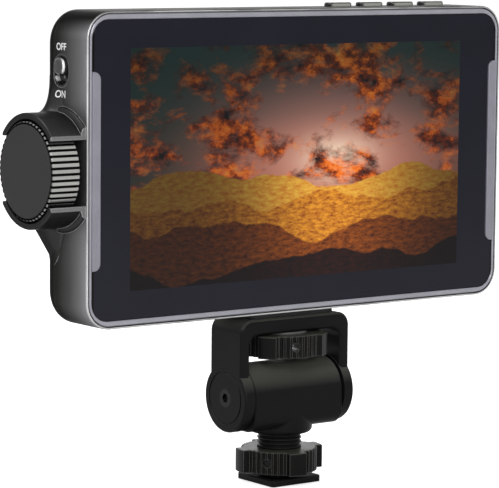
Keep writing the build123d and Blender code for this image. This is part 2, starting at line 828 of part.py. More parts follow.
with BuildPart() as backlight_unit:
    with BuildSketch(behind(panel_back, picture_shift_x, picture_shift_z)):
        RectangleRounded(panel_width, panel_height, unit_corner)
    extrude(amount=-backlight_thickness)
backlight_unit.part.label = "backlight_unit"
export_step(backlight_unit.part, "parts/backlight_unit.step")

# Chassis plate: carries the backlight and, on posts, the main board
chassis_width = panel_width + 2 * chassis_border
chassis_height = panel_height + 2 * chassis_border
board_x = inner_side - slip - board_width / 2
post_left = board_x - board_width / 2 + post_inset
post_right = chassis_width / 2 - post_inset
post_x = (post_left + post_right) / 2
post_spacing_x = post_right - post_left
post_spacing_z = board_height - 2 * post_inset
with BuildPart() as chassis_plate:
    with BuildSketch(behind(backlight_back)):
        RectangleRounded(chassis_width, chassis_height, chassis_corner)
        for x in (-chassis_width / 3, chassis_width / 3):
            with Locations((x, 0)):
                Rectangle(chassis_tab, 2 * (housing_height / 2 - side_wall - slip))
        SlotOverall(chassis_slot_length, chassis_slot_height, mode=Mode.SUBTRACT)
    extrude(amount=-chassis_thickness)
    with BuildSketch(behind(chassis_back, post_x)):
        with GridLocations(post_spacing_x, post_spacing_z, 2, 2):
            Circle(standoff_radius)
    extrude(amount=-board_standoff)
    with BuildSketch(behind(board_front, post_x)):
        with GridLocations(post_spacing_x, post_spacing_z, 2, 2):
            Circle(cover_screw_radius + thread_play)
    extrude(amount=board_standoff, mode=Mode.SUBTRACT)
chassis_plate.part.label = "chassis_plate"
export_step(chassis_plate.part, "parts/chassis_plate.step")

# Main board with its processor
with BuildPart() as main_board:
    with BuildSketch(behind(board_front)):
        with Locations((board_x, 0)):
            RectangleRounded(board_width, board_height, board_corner)
        with Locations((post_x, 0)):
            with GridLocations(post_spacing_x, post_spacing_z, 2, 2):
                Circle(cover_screw_radius + slip, mode=Mode.SUBTRACT)
    extrude(amount=-board_thickness)
    with BuildSketch(behind(board_back)):
        Rectangle(chip_side, chip_side)
        for share_x, share_z in small_chip_shares:
            with Locations((share_x * board_width, share_z * board_height)):
                Rectangle(small_chip_width, small_chip_height)
    extrude(amount=-chip_height)
main_board.part.label = "main_board"
export_step(main_board.part, "parts/main_board.step")

with BuildPart() as board_screws:
    with BuildSketch(behind(board_back, post_x)):
        with GridLocations(post_spacing_x, post_spacing_z, 2, 2):
            Circle(cover_screw_head)
    extrude(amount=-board_screw_height)
    with BuildSketch(behind(board_back, post_x)):
        with GridLocations(post_spacing_x, post_spacing_z, 2, 2):
            Circle(cover_screw_radius)
    extrude(amount=board_thickness + board_standoff - screw_tip_gap)
board_screws.part.label = "board_screws"
export_step(board_screws.part, "parts/board_screws.step")

# Finned heat spreader on the processor
spreader_front = board_back + chip_height
with BuildPart() as heat_spreader:
    with BuildSketch(behind(spreader_front)):
        Rectangle(spreader_width, spreader_height)
    extrude(amount=-spreader_thickness)
    with BuildSketch(behind(spreader_front + spreader_thickness)):
        with GridLocations(0, (spreader_height - fin_thickness) / (fin_count - 1), 1, fin_count):
            Rectangle(spreader_width, fin_thickness)
    extrude(amount=-fin_height)
heat_spreader.part.label = "heat_spreader"
export_step(heat_spreader.part, "parts/heat_spreader.step")

# Flat ribbon from the panel, round the chassis plate's edge, to the main board
ribbon_panel_end = picture_shift_z - panel_height / 2
ribbon_low = -chassis_height / 2 - ribbon_clearance
ribbon_board_end = -board_height / 2 + ribbon_lap
ribbon_front = panel_back - ribbon_clearance
with BuildPart() as panel_ribbon:
    with BuildSketch(right_of(ribbon_x, screen_z, front_y)):
        with BuildLine():
            Polyline((ribbon_front, ribbon_panel_end), (ribbon_front, ribbon_low),
                     (board_back + ribbon_thickness, ribbon_low),
                     (board_back + ribbon_thickness, ribbon_board_end),
                     (board_back, ribbon_board_end), (board_back, ribbon_low + ribbon_thickness),
                     (ribbon_front + ribbon_thickness, ribbon_low + ribbon_thickness),
                     (ribbon_front + ribbon_thickness, ribbon_panel_end), close=True)
        make_face()
    extrude(amount=ribbon_width)
panel_ribbon.part.label = "panel_ribbon"
export_step(panel_ribbon.part, "parts/panel_ribbon.step")

# Main housing: straight side walls, rounded back, guard for the dial and seats for what it carries
hdmi_depth = board_back + hdmi_height / 2
usb_depth = board_back + usb_height / 2
jack_depth = board_back + jack_height / 2
power_depth = board_back + power_side / 2
button_xs = [button_first_x + index * button_pitch for index in range(button_count)]
cover_screw_places = [(x, z) for x in (-1, 1) for z in (-1, 0, 1)]
cover_screw_x = cover_width / 2 - cover_step
cover_screw_z = cover_height / 2 - cover_step
flare_shares = ((9.0, 0.02), (11.5, 0.15), (14.0, 0.6), (17.0, 0.95), (20.5, 1.0), (23.5, 1.0),
                (body_depth, 1.0))
dial_plane = Plane(origin=(0, control_y, dial_z), x_dir=(1, 0, 0), z_dir=(0, -1, 0))
dial_axis = Axis((0, control_y, dial_z), (1, 0, 0))
with BuildPart() as main_housing:
    with BuildSketch(behind(lip_depth)):
        RectangleRounded(housing_width, housing_height, housing_corner)
    extrude(amount=-(round_start - lip_depth))
    fillet(main_housing.edges().group_by(Axis.Y)[0], shoulder_radius)
    for width, height, corner, depth in rounded_back(0.0, 0.0):
        with BuildSketch(behind(depth)):
            RectangleRounded(width, height, corner)
    loft()
    # Guard round the dial, with a small root fillet and a flare towards the back
    with BuildSketch(left_of(left_x + rear_round, dial_z)):
        Circle(guard_outer)
    extrude(amount=rear_round + guard_length)
    with BuildSketch(dial_plane):
        with BuildLine():
            Polyline((left_x, guard_outer + guard_root), (left_x + 1.0, guard_outer + guard_root),
                     (left_x + 1.0, guard_outer - 1.0), (left_x - guard_root, guard_outer - 1.0),
                     (left_x - guard_root, guard_outer))
            RadiusArc((left_x - guard_root, guard_outer), (left_x, guard_outer + guard_root), guard_root)
        make_face()
    revolve(axis=dial_axis)
    for side in (-1, 1):
        loft([flare_section(depth, share, side) for depth, share in flare_shares])
    with BuildSketch(left_of(left_x, dial_z)):
        Circle(guard_inner)
    extrude(amount=guard_length, mode=Mode.SUBTRACT)
    guard_rims = main_housing.edges().filter_by(lambda e: abs(e.center().X - guard_end_x) < 0.01)
    fillet(guard_rims.filter_by(GeomType.CIRCLE), guard_edge)
    for edge_y in (front_y + lip_depth - guard_outer, rear_y):
        with BuildSketch(right_of(left_x, dial_z, edge_y)):
            Rectangle(guard_outer, 3 * guard_outer, align=(Align.MIN, Align.CENTER))
        extrude(amount=rear_round + 1.0, mode=Mode.SUBTRACT)
    # Flat cuts at the guard's front and back, and the opening that shows the knurl
    with BuildSketch(left_of(left_x, dial_z)):
        with Locations((guard_cut + guard_outer / 2, 0), (-guard_cut - guard_outer / 2, 0)):
            Rectangle(guard_outer, 4 * guard_outer)
        Rectangle(3 * guard_outer, 2 * guard_window)
    extrude(amount=guard_length + 1.0, mode=Mode.SUBTRACT)
    # Pocket for the rim, and the hollow inside with bosses for screws and the threaded insert
    with BuildSketch(behind(lip_depth)):
        RectangleRounded(frame_width + 2 * rim_groove, frame_height + 2 * rim_groove,
                         rim_corner + rim_groove)
    extrude(amount=-(rim_thickness - lip_depth), mode=Mode.SUBTRACT)
    with BuildSketch(behind(rim_thickness)):
        RectangleRounded(housing_width - 2 * side_wall, housing_height - 2 * side_wall,
                         housing_corner - side_wall)
    extrude(amount=-(round_start - rim_thickness), mode=Mode.SUBTRACT)
    for width, height, corner, depth in rounded_back(side_wall, rear_wall):
        with BuildSketch(behind(depth)):
            RectangleRounded(width, height, corner)
    loft(mode=Mode.SUBTRACT)
    with BuildSketch(level(housing_bottom + side_wall / 2)):
        Circle(insert_boss)
    extrude(amount=insert_length - insert_flange_thickness - side_wall / 2)
    with BuildSketch(level(housing_bottom)):
        Circle(insert_radius + slip / 2)
    extrude(amount=insert_length, mode=Mode.SUBTRACT)
    with BuildSketch(behind(cover_inner)):
        for column, row in cover_screw_places:
            with Locations((column * cover_screw_x, row * cover_screw_z)):
                Circle(cover_post_radius)
    extrude(amount=cover_screw_length - rear_wall + screw_tip_gap)
    with BuildSketch(behind(body_depth)):
        RectangleRounded(cover_width + 2 * slip, cover_height + 2 * slip, cover_corner + slip)
    extrude(amount=cover_thickness, mode=Mode.SUBTRACT)
    with BuildSketch(behind(body_depth)):
        RectangleRounded(cover_width - 4 * cover_step, cover_height - 4 * cover_step, cover_corner)
    extrude(amount=rear_wall, mode=Mode.SUBTRACT)
    with BuildSketch(behind(body_depth)):
        for column, row in cover_screw_places:
            with Locations((column * cover_screw_x, row * cover_screw_z)):
                Circle(cover_screw_radius + thread_play)
    extrude(amount=cover_screw_length + slip, mode=Mode.SUBTRACT)
    # Seats in the left wall: encoder, switch module and switch bezel
    with BuildSketch(left_of(left_x + side_wall + encoder_length + slip, dial_z)):
        Rectangle(encoder_side + 2 * slip, encoder_side + 2 * slip)
    extrude(amount=encoder_length + slip, mode=Mode.SUBTRACT)
    with BuildSketch(left_of(left_x + side_wall, dial_z)):
        Circle(bushing_radius + slip / 2)
    extrude(amount=side_wall, mode=Mode.SUBTRACT)
    with BuildSketch(left_of(left_x + side_wall + module_thickness + slip, switch_z)):
        Rectangle(module_width + 2 * slip, module_height + 2 * slip)
    extrude(amount=module_thickness + slip, mode=Mode.SUBTRACT)
    with BuildSketch(left_of(left_x + side_wall, switch_z)):
        SlotOverall(recess_height + slip, recess_width + slip, rotation=90)
    extrude(amount=side_wall + knob_proud + slip, mode=Mode.SUBTRACT)
    # Openings in the top wall: buttons and light sensor
    with BuildSketch(level(inner_top - slip, y=control_y)):
        for x in button_xs:
            with Locations((x, 0)):
                SlotOverall(button_length + 2 * button_gap, button_width + 2 * button_gap)
        with Locations((sensor_x, 0)):
            Circle(sensor_radius + slip / 2)
    extrude(amount=side_wall + slip, mode=Mode.SUBTRACT)
    # Openings in the right wall for the sockets
    socket_holes = ((hdmi_depth, hdmi_input_rise, hdmi_height, hdmi_width),
                    (hdmi_depth, hdmi_output_rise, hdmi_height, hdmi_width),
                    (usb_depth, usb_rise, usb_height, usb_width),
                    (jack_depth, jack_rise, jack_height, jack_width),
                    (power_depth, power_rise, power_side, power_side))
    for depth, rise, thick, tall in socket_holes:
        with BuildSketch(right_of(inner_side - rear_round / 2, screen_z + rise, front_y + depth)):
            Rectangle(thick + 2 * slip, tall + 2 * slip)
        extrude(amount=side_wall + rear_round, mode=Mode.SUBTRACT)
main_housing.part.label = "main_housing"
export_step(main_housing.part, "parts/main_housing.step")

# Threaded insert under the monitor
with BuildPart() as thread_insert:
    with BuildSketch(level(housing_bottom + pad_gap)):
        Circle(insert_radius)
    extrude(amount=insert_length - pad_gap)
    with BuildSketch(level(housing_bottom + insert_length - insert_flange_thickness)):
        Circle(insert_flange)
    extrude(amount=insert_flange_thickness)
    with BuildSketch(level(housing_bottom)):
        Circle(insert_bore)
    extrude(amount=insert_length, mode=Mode.SUBTRACT)
thread_insert.part.label = "thread_insert"
export_step(thread_insert.part, "parts/thread_insert.step")

# Rotary encoder: square body inside the wall, round bushing through it
encoder_outer_x = left_x + side_wall
encoder_inner_x = encoder_outer_x + encoder_length
with BuildPart() as dial_encoder:
    with BuildSketch(left_of(encoder_inner_x, dial_z)):
        Rectangle(encoder_side, encoder_side)
    extrude(amount=encoder_length)
    with BuildSketch(left_of(encoder_outer_x, dial_z)):
        Circle(bushing_radius)
    extrude(amount=side_wall + bushing_proud)
    with BuildSketch(left_of(encoder_inner_x - encoder_floor, dial_z)):
        Circle(shaft_radius + run_play)
    extrude(amount=encoder_length + side_wall + bushing_proud, mode=Mode.SUBTRACT)
dial_encoder.part.label = "dial_encoder"
export_step(dial_encoder.part, "parts/dial_encoder.step")

# Push plunger inside the encoder, behind the shaft
plunger_inner_x = encoder_inner_x - encoder_floor - dial_press - slip
plunger_outer_x = plunger_inner_x - plunger_length
with BuildPart() as encoder_plunger:
    with BuildSketch(left_of(plunger_inner_x, dial_z)):
        Circle(plunger_radius)
    extrude(amount=plunger_length)
encoder_plunger.part.label = "encoder_plunger"
export_step(encoder_plunger.part, "parts/encoder_plunger.step")

# Encoder shaft that carries the dial
face_inner_x = dial_outer_x + dial_face_thickness - trim_proud
with BuildPart() as encoder_shaft:
    with BuildSketch(left_of(plunger_outer_x, dial_z)):
        Circle(shaft_radius)
    extrude(amount=plunger_outer_x - face_inner_x)
    chamfer(encoder_shaft.edges().group_by(Axis.X)[0], shaft_edge)
encoder_shaft.part.label = "encoder_shaft"
export_step(encoder_shaft.part, "parts/encoder_shaft.step")

# Dial core: web and hub inside the knurled ring
with BuildPart() as dial_core:
    with BuildSketch(left_of(dial_inner_x, dial_z)):
        Circle(dial_core_radius)
    extrude(amount=dial_inner_x - face_inner_x)
    with BuildSketch(left_of(dial_inner_x, dial_z)):
        Circle(dial_core_radius - core_wall)
        Circle(dial_hub_radius, mode=Mode.SUBTRACT)
    extrude(amount=dial_inner_x - face_inner_x - dial_web, mode=Mode.SUBTRACT)
    with BuildSketch(left_of(dial_inner_x, dial_z)):
        Circle(shaft_radius + thread_play)
    extrude(amount=dial_inner_x - face_inner_x, mode=Mode.SUBTRACT)
dial_core.part.label = "dial_core"
export_step(dial_core.part, "parts/dial_core.step")

# Knurled metal ring round the dial, chamfered at its outer end
with BuildPart() as dial_knurled_ring:
    with BuildSketch(left_of(dial_inner_x, dial_z)):
        Circle(dial_radius)
        Circle(dial_core_radius + thread_play, mode=Mode.SUBTRACT)
        with PolarLocations(dial_radius, rib_count):
            Rectangle(2 * rib_depth, rib_gap * 2 * math.pi * dial_radius / rib_count, mode=Mode.SUBTRACT)
    extrude(amount=dial_length)
    with BuildSketch(left_of(face_inner_x, dial_z)):
        Circle(dial_face_radius + thread_play)
    extrude(amount=dial_face_thickness, mode=Mode.SUBTRACT)
    with BuildSketch(dial_plane):
        with BuildLine():
            Polyline((dial_outer_x - cut_margin, dial_radius - dial_chamfer - cut_margin),
                     (dial_outer_x - cut_margin, dial_radius + cut_margin),
                     (dial_outer_x + dial_chamfer + cut_margin, dial_radius + cut_margin), close=True)
        make_face()
    revolve(axis=dial_axis, mode=Mode.SUBTRACT)
dial_knurled_ring.part.label = "dial_knurled_ring"
export_step(dial_knurled_ring.part, "parts/dial_knurled_ring.step")

# Flat disc on the dial's face
with BuildPart() as dial_face_disc:
    with BuildSketch(left_of(face_inner_x, dial_z)):
        Circle(dial_face_radius)
    extrude(amount=dial_face_thickness)
    chamfer(dial_face_disc.edges().group_by(Axis.X)[0], dial_face_edge)
dial_face_disc.part.label = "dial_face_disc"
export_step(dial_face_disc.part, "parts/dial_face_disc.step")

# Power switch: liner in the recess, sliding knob and the module behind the wall
liner_outer_x = left_x + bezel_recess
liner_inner_x = left_x + side_wall
liner_depth = liner_inner_x - liner_outer_x
knob_z = switch_z + switch_travel / 2
with BuildPart() as switch_bezel:
    with BuildSketch(left_of(liner_inner_x, switch_z)):
        SlotOverall(recess_height, recess_width, rotation=90)
    extrude(amount=liner_depth)
    with BuildSketch(left_of(liner_inner_x - bezel_floor, switch_z)):
        SlotOverall(recess_height - 2 * bezel_wall, recess_width - 2 * bezel_wall, rotation=90)
    extrude(amount=liner_depth - bezel_floor, mode=Mode.SUBTRACT)
    with BuildSketch(left_of(liner_inner_x, switch_z)):
        Rectangle(stem_width + 2 * slip, stem_height + switch_travel + 4 * slip)
    extrude(amount=bezel_floor, mode=Mode.SUBTRACT)
switch_bezel.part.label = "switch_bezel"
export_step(switch_bezel.part, "parts/switch_bezel.step")

knob_inner_x = liner_inner_x - bezel_floor - knob_gap
with BuildPart() as power_switch_knob:
    with BuildSketch(left_of(knob_inner_x, knob_z)):
        Circle(knob_radius)
    extrude(amount=knob_inner_x - left_x + knob_proud)
    fillet(power_switch_knob.edges().group_by(Axis.X)[0], knob_edge)
    with BuildSketch(left_of(liner_inner_x + stem_depth, knob_z)):
        Rectangle(stem_width, stem_height)
    extrude(amount=liner_inner_x + stem_depth - knob_inner_x)
power_switch_knob.part.label = "power_switch_knob"
export_step(power_switch_knob.part, "parts/power_switch_knob.step")

with BuildPart() as switch_module:
    with BuildSketch(left_of(liner_inner_x + module_thickness, switch_z)):
        Rectangle(module_width, module_height)
    extrude(amount=module_thickness)
    with BuildSketch(left_of(liner_inner_x + stem_depth + 2 * slip, switch_z)):
        Rectangle(stem_width + 2 * slip, stem_height + switch_travel + 4 * slip)
    extrude(amount=stem_depth + 2 * slip, mode=Mode.SUBTRACT)
switch_module.part.label = "switch_module"
export_step(switch_module.part, "parts/switch_module.step")

# Button board on edge of the chassis plate, with a small press switch for each button
flange_top = inner_top - slip
flange_bottom = flange_top - flange_thickness
press_top = flange_bottom - button_travel - slip
press_bottom = press_top - switch_height
board_front_y = front_y + chassis_back
button_board_length = (button_count - 1) * button_pitch + button_length
button_board_depth = control_y + button_board_width / 2 - board_front_y
button_middle_x = sum(button_xs) / button_count
with BuildPart() as button_board:
    with BuildSketch(level(press_bottom - button_board_thickness, button_middle_x, board_front_y)):
        Rectangle(button_board_length, button_board_depth, align=(Align.CENTER, Align.MIN))
    extrude(amount=button_board_thickness)
button_board.part.label = "button_board"
export_step(button_board.part, "parts/button_board.step")

with BuildPart() as press_switches:
    with BuildSketch(level(press_bottom, y=control_y)):
        for x in button_xs:
            with Locations((x, 0)):
                Rectangle(switch_side, switch_side)
    extrude(amount=switch_height)
press_switches.part.label = "press_switches"
export_step(press_switches.part, "parts/press_switches.step")

# Pill-shaped top buttons, each held in by a flange under the wall
for index, button_x in enumerate(button_xs):
    with BuildPart() as top_button:
        with BuildSketch(level(flange_bottom, button_x, control_y)):
            SlotOverall(button_length + 2 * button_flange, button_width)
        extrude(amount=flange_thickness)
        with BuildSketch(level(flange_bottom, button_x, control_y)):
            SlotOverall(button_length, button_width)
        extrude(amount=housing_top + button_proud - flange_bottom)
        fillet(top_button.edges().group_by(Axis.Z)[-1], button_edge)
    top_button.part.label = f"top_button_{index + 1}"
    export_step(top_button.part, f"parts/top_button_{index + 1}.step")

# Window of the light sensor in the top wall
with BuildPart() as light_sensor_window:
    with BuildSketch(level(inner_top, sensor_x, control_y)):
        Circle(sensor_radius)
    extrude(amount=side_wall - slip)
light_sensor_window.part.label = "light_sensor_window"
export_step(light_sensor_window.part, "parts/light_sensor_window.step")


def socket_plane(rise, depth):
    """Plane across a socket's mouth, just inside the right wall's surface."""
    return right_of(right_x - socket_lip, screen_z + rise, front_y + depth)


# HDMI sockets: input above, loop output below
for name, rise in (("hdmi_input_socket", hdmi_input_rise), ("hdmi_output_socket", hdmi_output_rise)):
    with BuildPart() as hdmi_socket:
        with BuildSketch(socket_plane(rise, hdmi_depth)):
            Rectangle(hdmi_height, hdmi_width)
        extrude(amount=-hdmi_length)
        with BuildSketch(socket_plane(rise, hdmi_depth)):
            Rectangle(hdmi_opening_height, hdmi_opening_width)
        extrude(amount=-(hdmi_length - socket_floor), mode=Mode.SUBTRACT)
    hdmi_socket.part.label = name
    export_step(hdmi_socket.part, f"parts/{name}.step")

# USB-C socket with its tongue
with BuildPart() as usb_socket:
    with BuildSketch(socket_plane(usb_rise, usb_depth)):
        SlotOverall(usb_width, usb_height, rotation=90)
    extrude(amount=-usb_length)
    with BuildSketch(socket_plane(usb_rise, usb_depth)):
        SlotOverall(usb_width - 2 * usb_shell, usb_height - 2 * usb_shell, rotation=90)
        Rectangle(usb_tongue, usb_width - 2 * (usb_shell + usb_tongue_gap), mode=Mode.SUBTRACT)
    extrude(amount=-(usb_length - socket_floor), mode=Mode.SUBTRACT)
usb_socket.part.label = "usb_socket"
export_step(usb_socket.part, "parts/usb_socket.step")

# Headphone socket
with BuildPart() as headphone_socket:
    with BuildSketch(socket_plane(jack_rise, jack_depth)):
        Rectangle(jack_height, jack_width)
    extrude(amount=-jack_length)
    with BuildSketch(socket_plane(jack_rise, jack_depth)):
        Circle(jack_bore)
    extrude(amount=-jack_length, mode=Mode.SUBTRACT)
headphone_socket.part.label = "headphone_socket"
export_step(headphone_socket.part, "parts/headphone_socket.step")

# Power socket with its centre pin
with BuildPart() as power_socket:
    with BuildSketch(socket_plane(power_rise, power_depth)):
        RectangleRounded(power_side, power_side, power_corner)
    extrude(amount=-power_length)
    with BuildSketch(socket_plane(power_rise, power_depth)):
        Circle(power_bore)
        Circle(power_pin, mode=Mode.SUBTRACT)
    extrude(amount=-(power_length - 2 * socket_floor), mode=Mode.SUBTRACT)
power_socket.part.label = "power_socket"
export_step(power_socket.part, "parts/power_socket.step")

# Rear cover with vents, let flush into the housing
vent_columns = (-cover_width / 3, cover_width / 3)
cover_front = body_depth - cover_thickness
with BuildPart() as rear_cover:
    with BuildSketch(behind(cover_front)):
        RectangleRounded(cover_width, cover_height, cover_corner)
        for column, row in cover_screw_places:
            with Locations((column * cover_screw_x, row * cover_screw_z)):
                Circle(cover_screw_radius + slip, mode=Mode.SUBTRACT)
        for x in vent_columns:
            with Locations((x, 0)):
                with GridLocations(0, vent_pitch, 1, vent_count):
                    SlotOverall(vent_length, vent_width, mode=Mode.SUBTRACT)
        with GridLocations(2 * plate_screw_x, 2 * plate_screw_z, 2, 2):
            Circle(cover_screw_radius + thread_play, mode=Mode.SUBTRACT)
    extrude(amount=-cover_thickness)
rear_cover.part.label = "rear_cover"
export_step(rear_cover.part, "parts/rear_cover.step")

# Screws of the rear cover: shallow heads on its face
cover_head_back = body_depth + cover_screw_height
with BuildPart() as rear_cover_screws:
    for column, row in cover_screw_places:
        with BuildSketch(behind(body_depth, column * cover_screw_x, row * cover_screw_z)):
            Circle(cover_screw_head)
        extrude(amount=-cover_screw_height)
        with BuildSketch(behind(body_depth, column * cover_screw_x, row * cover_screw_z)):
            Circle(cover_screw_radius)
        extrude(amount=cover_screw_length)
        with BuildSketch(behind(cover_head_back, column * cover_screw_x, row * cover_screw_z)):
            Rectangle(cover_cross_length, cover_cross_width)
            Rectangle(cover_cross_width, cover_cross_length)
        extrude(amount=cover_cross_depth, mode=Mode.SUBTRACT)
rear_cover_screws.part.label = "rear_cover_screws"
export_step(rear_cover_screws.part, "parts/rear_cover_screws.step")

# Battery plate: base with hooked side rails and a pocket for the latch
plate_back = body_depth + plate_thickness
rail_back = plate_back + rail_height
pocket_height = latch_height + latch_travel + slip + spring_length
pocket_top = latch_drop + latch_height / 2 + slip
pocket_middle = pocket_top - pocket_height / 2
foot_pocket_back = plate_back - latch_pocket_depth + latch_foot_thickness + slip
with BuildPart() as battery_plate:
    with BuildSketch(behind(body_depth)):
        RectangleRounded(plate_width, plate_height, plate_corner)
    extrude(amount=-plate_thickness)
    for side in (-1, 1):
        rail_x = side * (plate_width / 2 - rail_wall / 2)
        with BuildSketch(behind(plate_back, rail_x, rail_drop)):
            Rectangle(rail_wall, rail_length)
        extrude(amount=-rail_height)
        lip_x = side * (plate_width / 2 - rail_wall - rail_lip / 2)
        with BuildSketch(behind(rail_back, lip_x, rail_drop)):
            Rectangle(rail_lip, rail_length)
        extrude(amount=rail_lip_thickness)
    with BuildSketch(behind(plate_back, 0, pocket_middle)):
        Rectangle(latch_width + 2 * slip, pocket_height)
    extrude(amount=latch_pocket_depth, mode=Mode.SUBTRACT)
    with BuildSketch(behind(foot_pocket_back, 0, pocket_middle)):
        Rectangle(latch_width + 2 * latch_foot + 2 * slip, pocket_height)
    extrude(amount=latch_foot_thickness + slip, mode=Mode.SUBTRACT)
    with BuildSketch(behind(plate_back)):
        with GridLocations(2 * plate_screw_x, 2 * plate_screw_z, 2, 2):
            Circle(cover_screw_radius + slip)
    extrude(amount=plate_thickness, mode=Mode.SUBTRACT)
battery_plate.part.label = "battery_plate"
export_step(battery_plate.part, "parts/battery_plate.step")

with BuildPart() as battery_plate_screws:
    with BuildSketch(behind(plate_back)):
        with GridLocations(2 * plate_screw_x, 2 * plate_screw_z, 2, 2):
            Circle(cover_screw_head)
    extrude(amount=-plate_screw_height)
    with BuildSketch(behind(plate_back)):
        with GridLocations(2 * plate_screw_x, 2 * plate_screw_z, 2, 2):
            Circle(cover_screw_radius)
    extrude(amount=plate_screw_length)
battery_plate_screws.part.label = "battery_plate_screws"
export_step(battery_plate_screws.part, "parts/battery_plate_screws.step")

# Battery contacts standing on the plate
with BuildPart() as battery_contacts:
    with BuildSketch(behind(plate_back, 0, contact_rise)):
        with GridLocations(contact_pitch, 0, contact_count, 1):
            Rectangle(contact_width, contact_length)
    extrude(amount=-contact_height)
battery_contacts.part.label = "battery_contacts"
export_step(battery_contacts.part, "parts/battery_contacts.step")

# Battery latch that slides down against its spring
latch_inner = plate_back - latch_pocket_depth + slip / 2
with BuildPart() as battery_latch:
    with BuildSketch(behind(latch_inner, 0, latch_drop)):
        Rectangle(latch_width, latch_height)
    extrude(amount=-(plate_back + latch_proud - latch_inner))
    with BuildSketch(behind(latch_inner, 0, latch_drop)):
        Rectangle(latch_width + 2 * latch_foot, latch_height)
    extrude(amount=-latch_foot_thickness)
    chamfer(battery_latch.edges().group_by(Axis.Y)[-1].sort_by(Axis.Z)[-1], latch_ramp)
battery_latch.part.label = "battery_latch"
export_step(battery_latch.part, "parts/battery_latch.step")

# Coil spring under the latch
spring_top = screen_z + latch_drop - latch_height / 2
spring_bottom = spring_top - spring_length - latch_travel
spring_y = front_y + plate_back - latch_pocket_depth / 2
spring_height = spring_top - spring_bottom - spring_wire - 2 * slip
with BuildPart() as latch_spring:
    with BuildLine(Plane(origin=(0, spring_y, spring_bottom + spring_wire / 2 + slip))) as spring_path:
        Helix(spring_height / spring_turns, spring_height, spring_radius)
    with BuildSketch(Plane(origin=spring_path.line @ 0, z_dir=spring_path.line % 0)):
        Circle(spring_wire / 2)
    sweep(path=spring_path.line, is_frenet=True)
latch_spring.part.label = "latch_spring"
export_step(latch_spring.part, "parts/latch_spring.step")
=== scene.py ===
import math

import bpy
from mathutils import Matrix, Vector


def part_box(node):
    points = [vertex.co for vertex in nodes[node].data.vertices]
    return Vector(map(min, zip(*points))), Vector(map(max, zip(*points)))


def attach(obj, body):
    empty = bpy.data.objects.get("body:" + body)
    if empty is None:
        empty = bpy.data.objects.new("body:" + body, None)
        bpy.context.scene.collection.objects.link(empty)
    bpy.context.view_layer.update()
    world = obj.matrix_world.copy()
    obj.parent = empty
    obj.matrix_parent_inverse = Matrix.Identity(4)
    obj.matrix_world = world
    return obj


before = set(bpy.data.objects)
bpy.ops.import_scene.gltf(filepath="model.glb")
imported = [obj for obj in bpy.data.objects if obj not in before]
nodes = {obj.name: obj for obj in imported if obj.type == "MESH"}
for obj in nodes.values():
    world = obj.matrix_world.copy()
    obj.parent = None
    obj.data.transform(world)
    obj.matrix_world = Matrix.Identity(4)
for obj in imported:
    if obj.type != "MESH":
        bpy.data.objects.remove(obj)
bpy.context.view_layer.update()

MM = 0.001


def middle(name, axis):
    """Middle of a piece's box along an axis, 0, 1 or 2, in millimetres."""
    low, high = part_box(name)
    return (low[axis] + high[axis]) / 2 / MM


def grey(value):
    """Colour whose three parts are alike."""
    return (value, value, value)


# Camera: focal length in pixels of a picture 499 wide, place in mm, turns in degrees, reach in metres
FOCAL_PX = 2770.92
IMAGE_WIDTH = 499
SENSOR = 36.0
CAMERA_PLACE = (-499.52, -651.20, 166.18)
CAMERA_YAW = 36.83157
CAMERA_PITCH = 6.59925
CAMERA_ROLL = 0.52310
CAMERA_REACH = (0.01, 50.0)

# Surroundings: floor in metres, strength of its own light, of the daylight and of the background
FLOOR_REACH = 8.0
FLOOR_LEVEL = -0.0002
FLOOR_LIFT = 0.6
DAYLIGHT = 0.5
BACKGROUND = 1.0
WHITE = grey(1.0)

# Lamps: name, place in metres, side in metres and watts, and the point that they all face
LAMPS = (("key_lamp", (-0.85, -0.75, 0.85), 0.5, 6.0),
         ("front_lamp", (-0.35, -1.2, 0.40), 0.3, 5.0),
         ("top_lamp", (0.0, 0.25, 1.2), 0.5, 6.0),
         ("back_lamp", (0.6, 1.1, 0.6), 0.8, 2.0))
LAMP_AIM = (0.0, 0.0, 0.08)

# Places on the object in millimetres, read from the pieces of model.glb
FRONT_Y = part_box("front_frame")[0][1] / MM
REAR_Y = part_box("main_housing")[1][1] / MM
RIGHT_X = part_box("main_housing")[1][0] / MM
GLASS_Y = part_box("cover_glass")[0][1] / MM
GLASS_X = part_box("cover_glass")[1][0] / MM
KNOB_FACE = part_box("power_switch_knob")[0][0] / MM
CONTROL_Y = middle("power_switch_knob", 1)
SWITCH_Z = middle("switch_bezel", 2)
DIAL_Z = middle("dial_knurled_ring", 2)

# Lowest and highest corner of the display panel in metres
PANEL_LOW, PANEL_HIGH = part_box("display_panel")

# Sizes in millimetres: dial, guard's start outside the wall, the picture's dark border and the painted
# shadow along the glass's sides, skin of the glass's front
DIAL_RADIUS = 14.0
RIB_DEPTH = 0.6
GUARD_START = 0.35
PANEL_BORDER = 3.2
SIDE_SHADOW_WIDTH = 0.65
GLASS_SKIN = 0.05

# Words at the switch in millimetres: height, places, lie on the wall, and how far off its rays start
WORD_HEIGHT = 2.1
OFF_ABOVE = 6.79
ON_BELOW = 6.5
WORD_PROUD = 0.03
WORD_SUNK = 0.05
RAY_START = 50.0

# Letters in shares of their type size, and the steps of their curves
LETTER_BOLD = 0.02
LETTER_DEPTH = 0.01
LETTER_STEPS = 6

# Grain of the surfaces: cells or lines a metre, how lathe lines are drawn out, depths in millimetres
BLAST_GRAIN = 5200.0
BLAST_DEPTH = 0.03
MOUNT_GRAIN = 4200.0
MOULD_DEPTH = 0.04
KEY_GRAIN = 4000.0
LATHE_LINES = 9000.0
LATHE_STRETCH = 0.02
LATHE_DEPTH = 0.02
TRACK_SCALE = 320.0
TRACK_DEPTH = 0.05

# Radii of edges that only catch the light, in millimetres, and the rays that find them
HOUSING_EDGE = 0.18
PAINT_EDGE = 0.15
MOULD_EDGE = 0.15
TURNED_EDGE = 0.1
EDGE_SAMPLES = 4
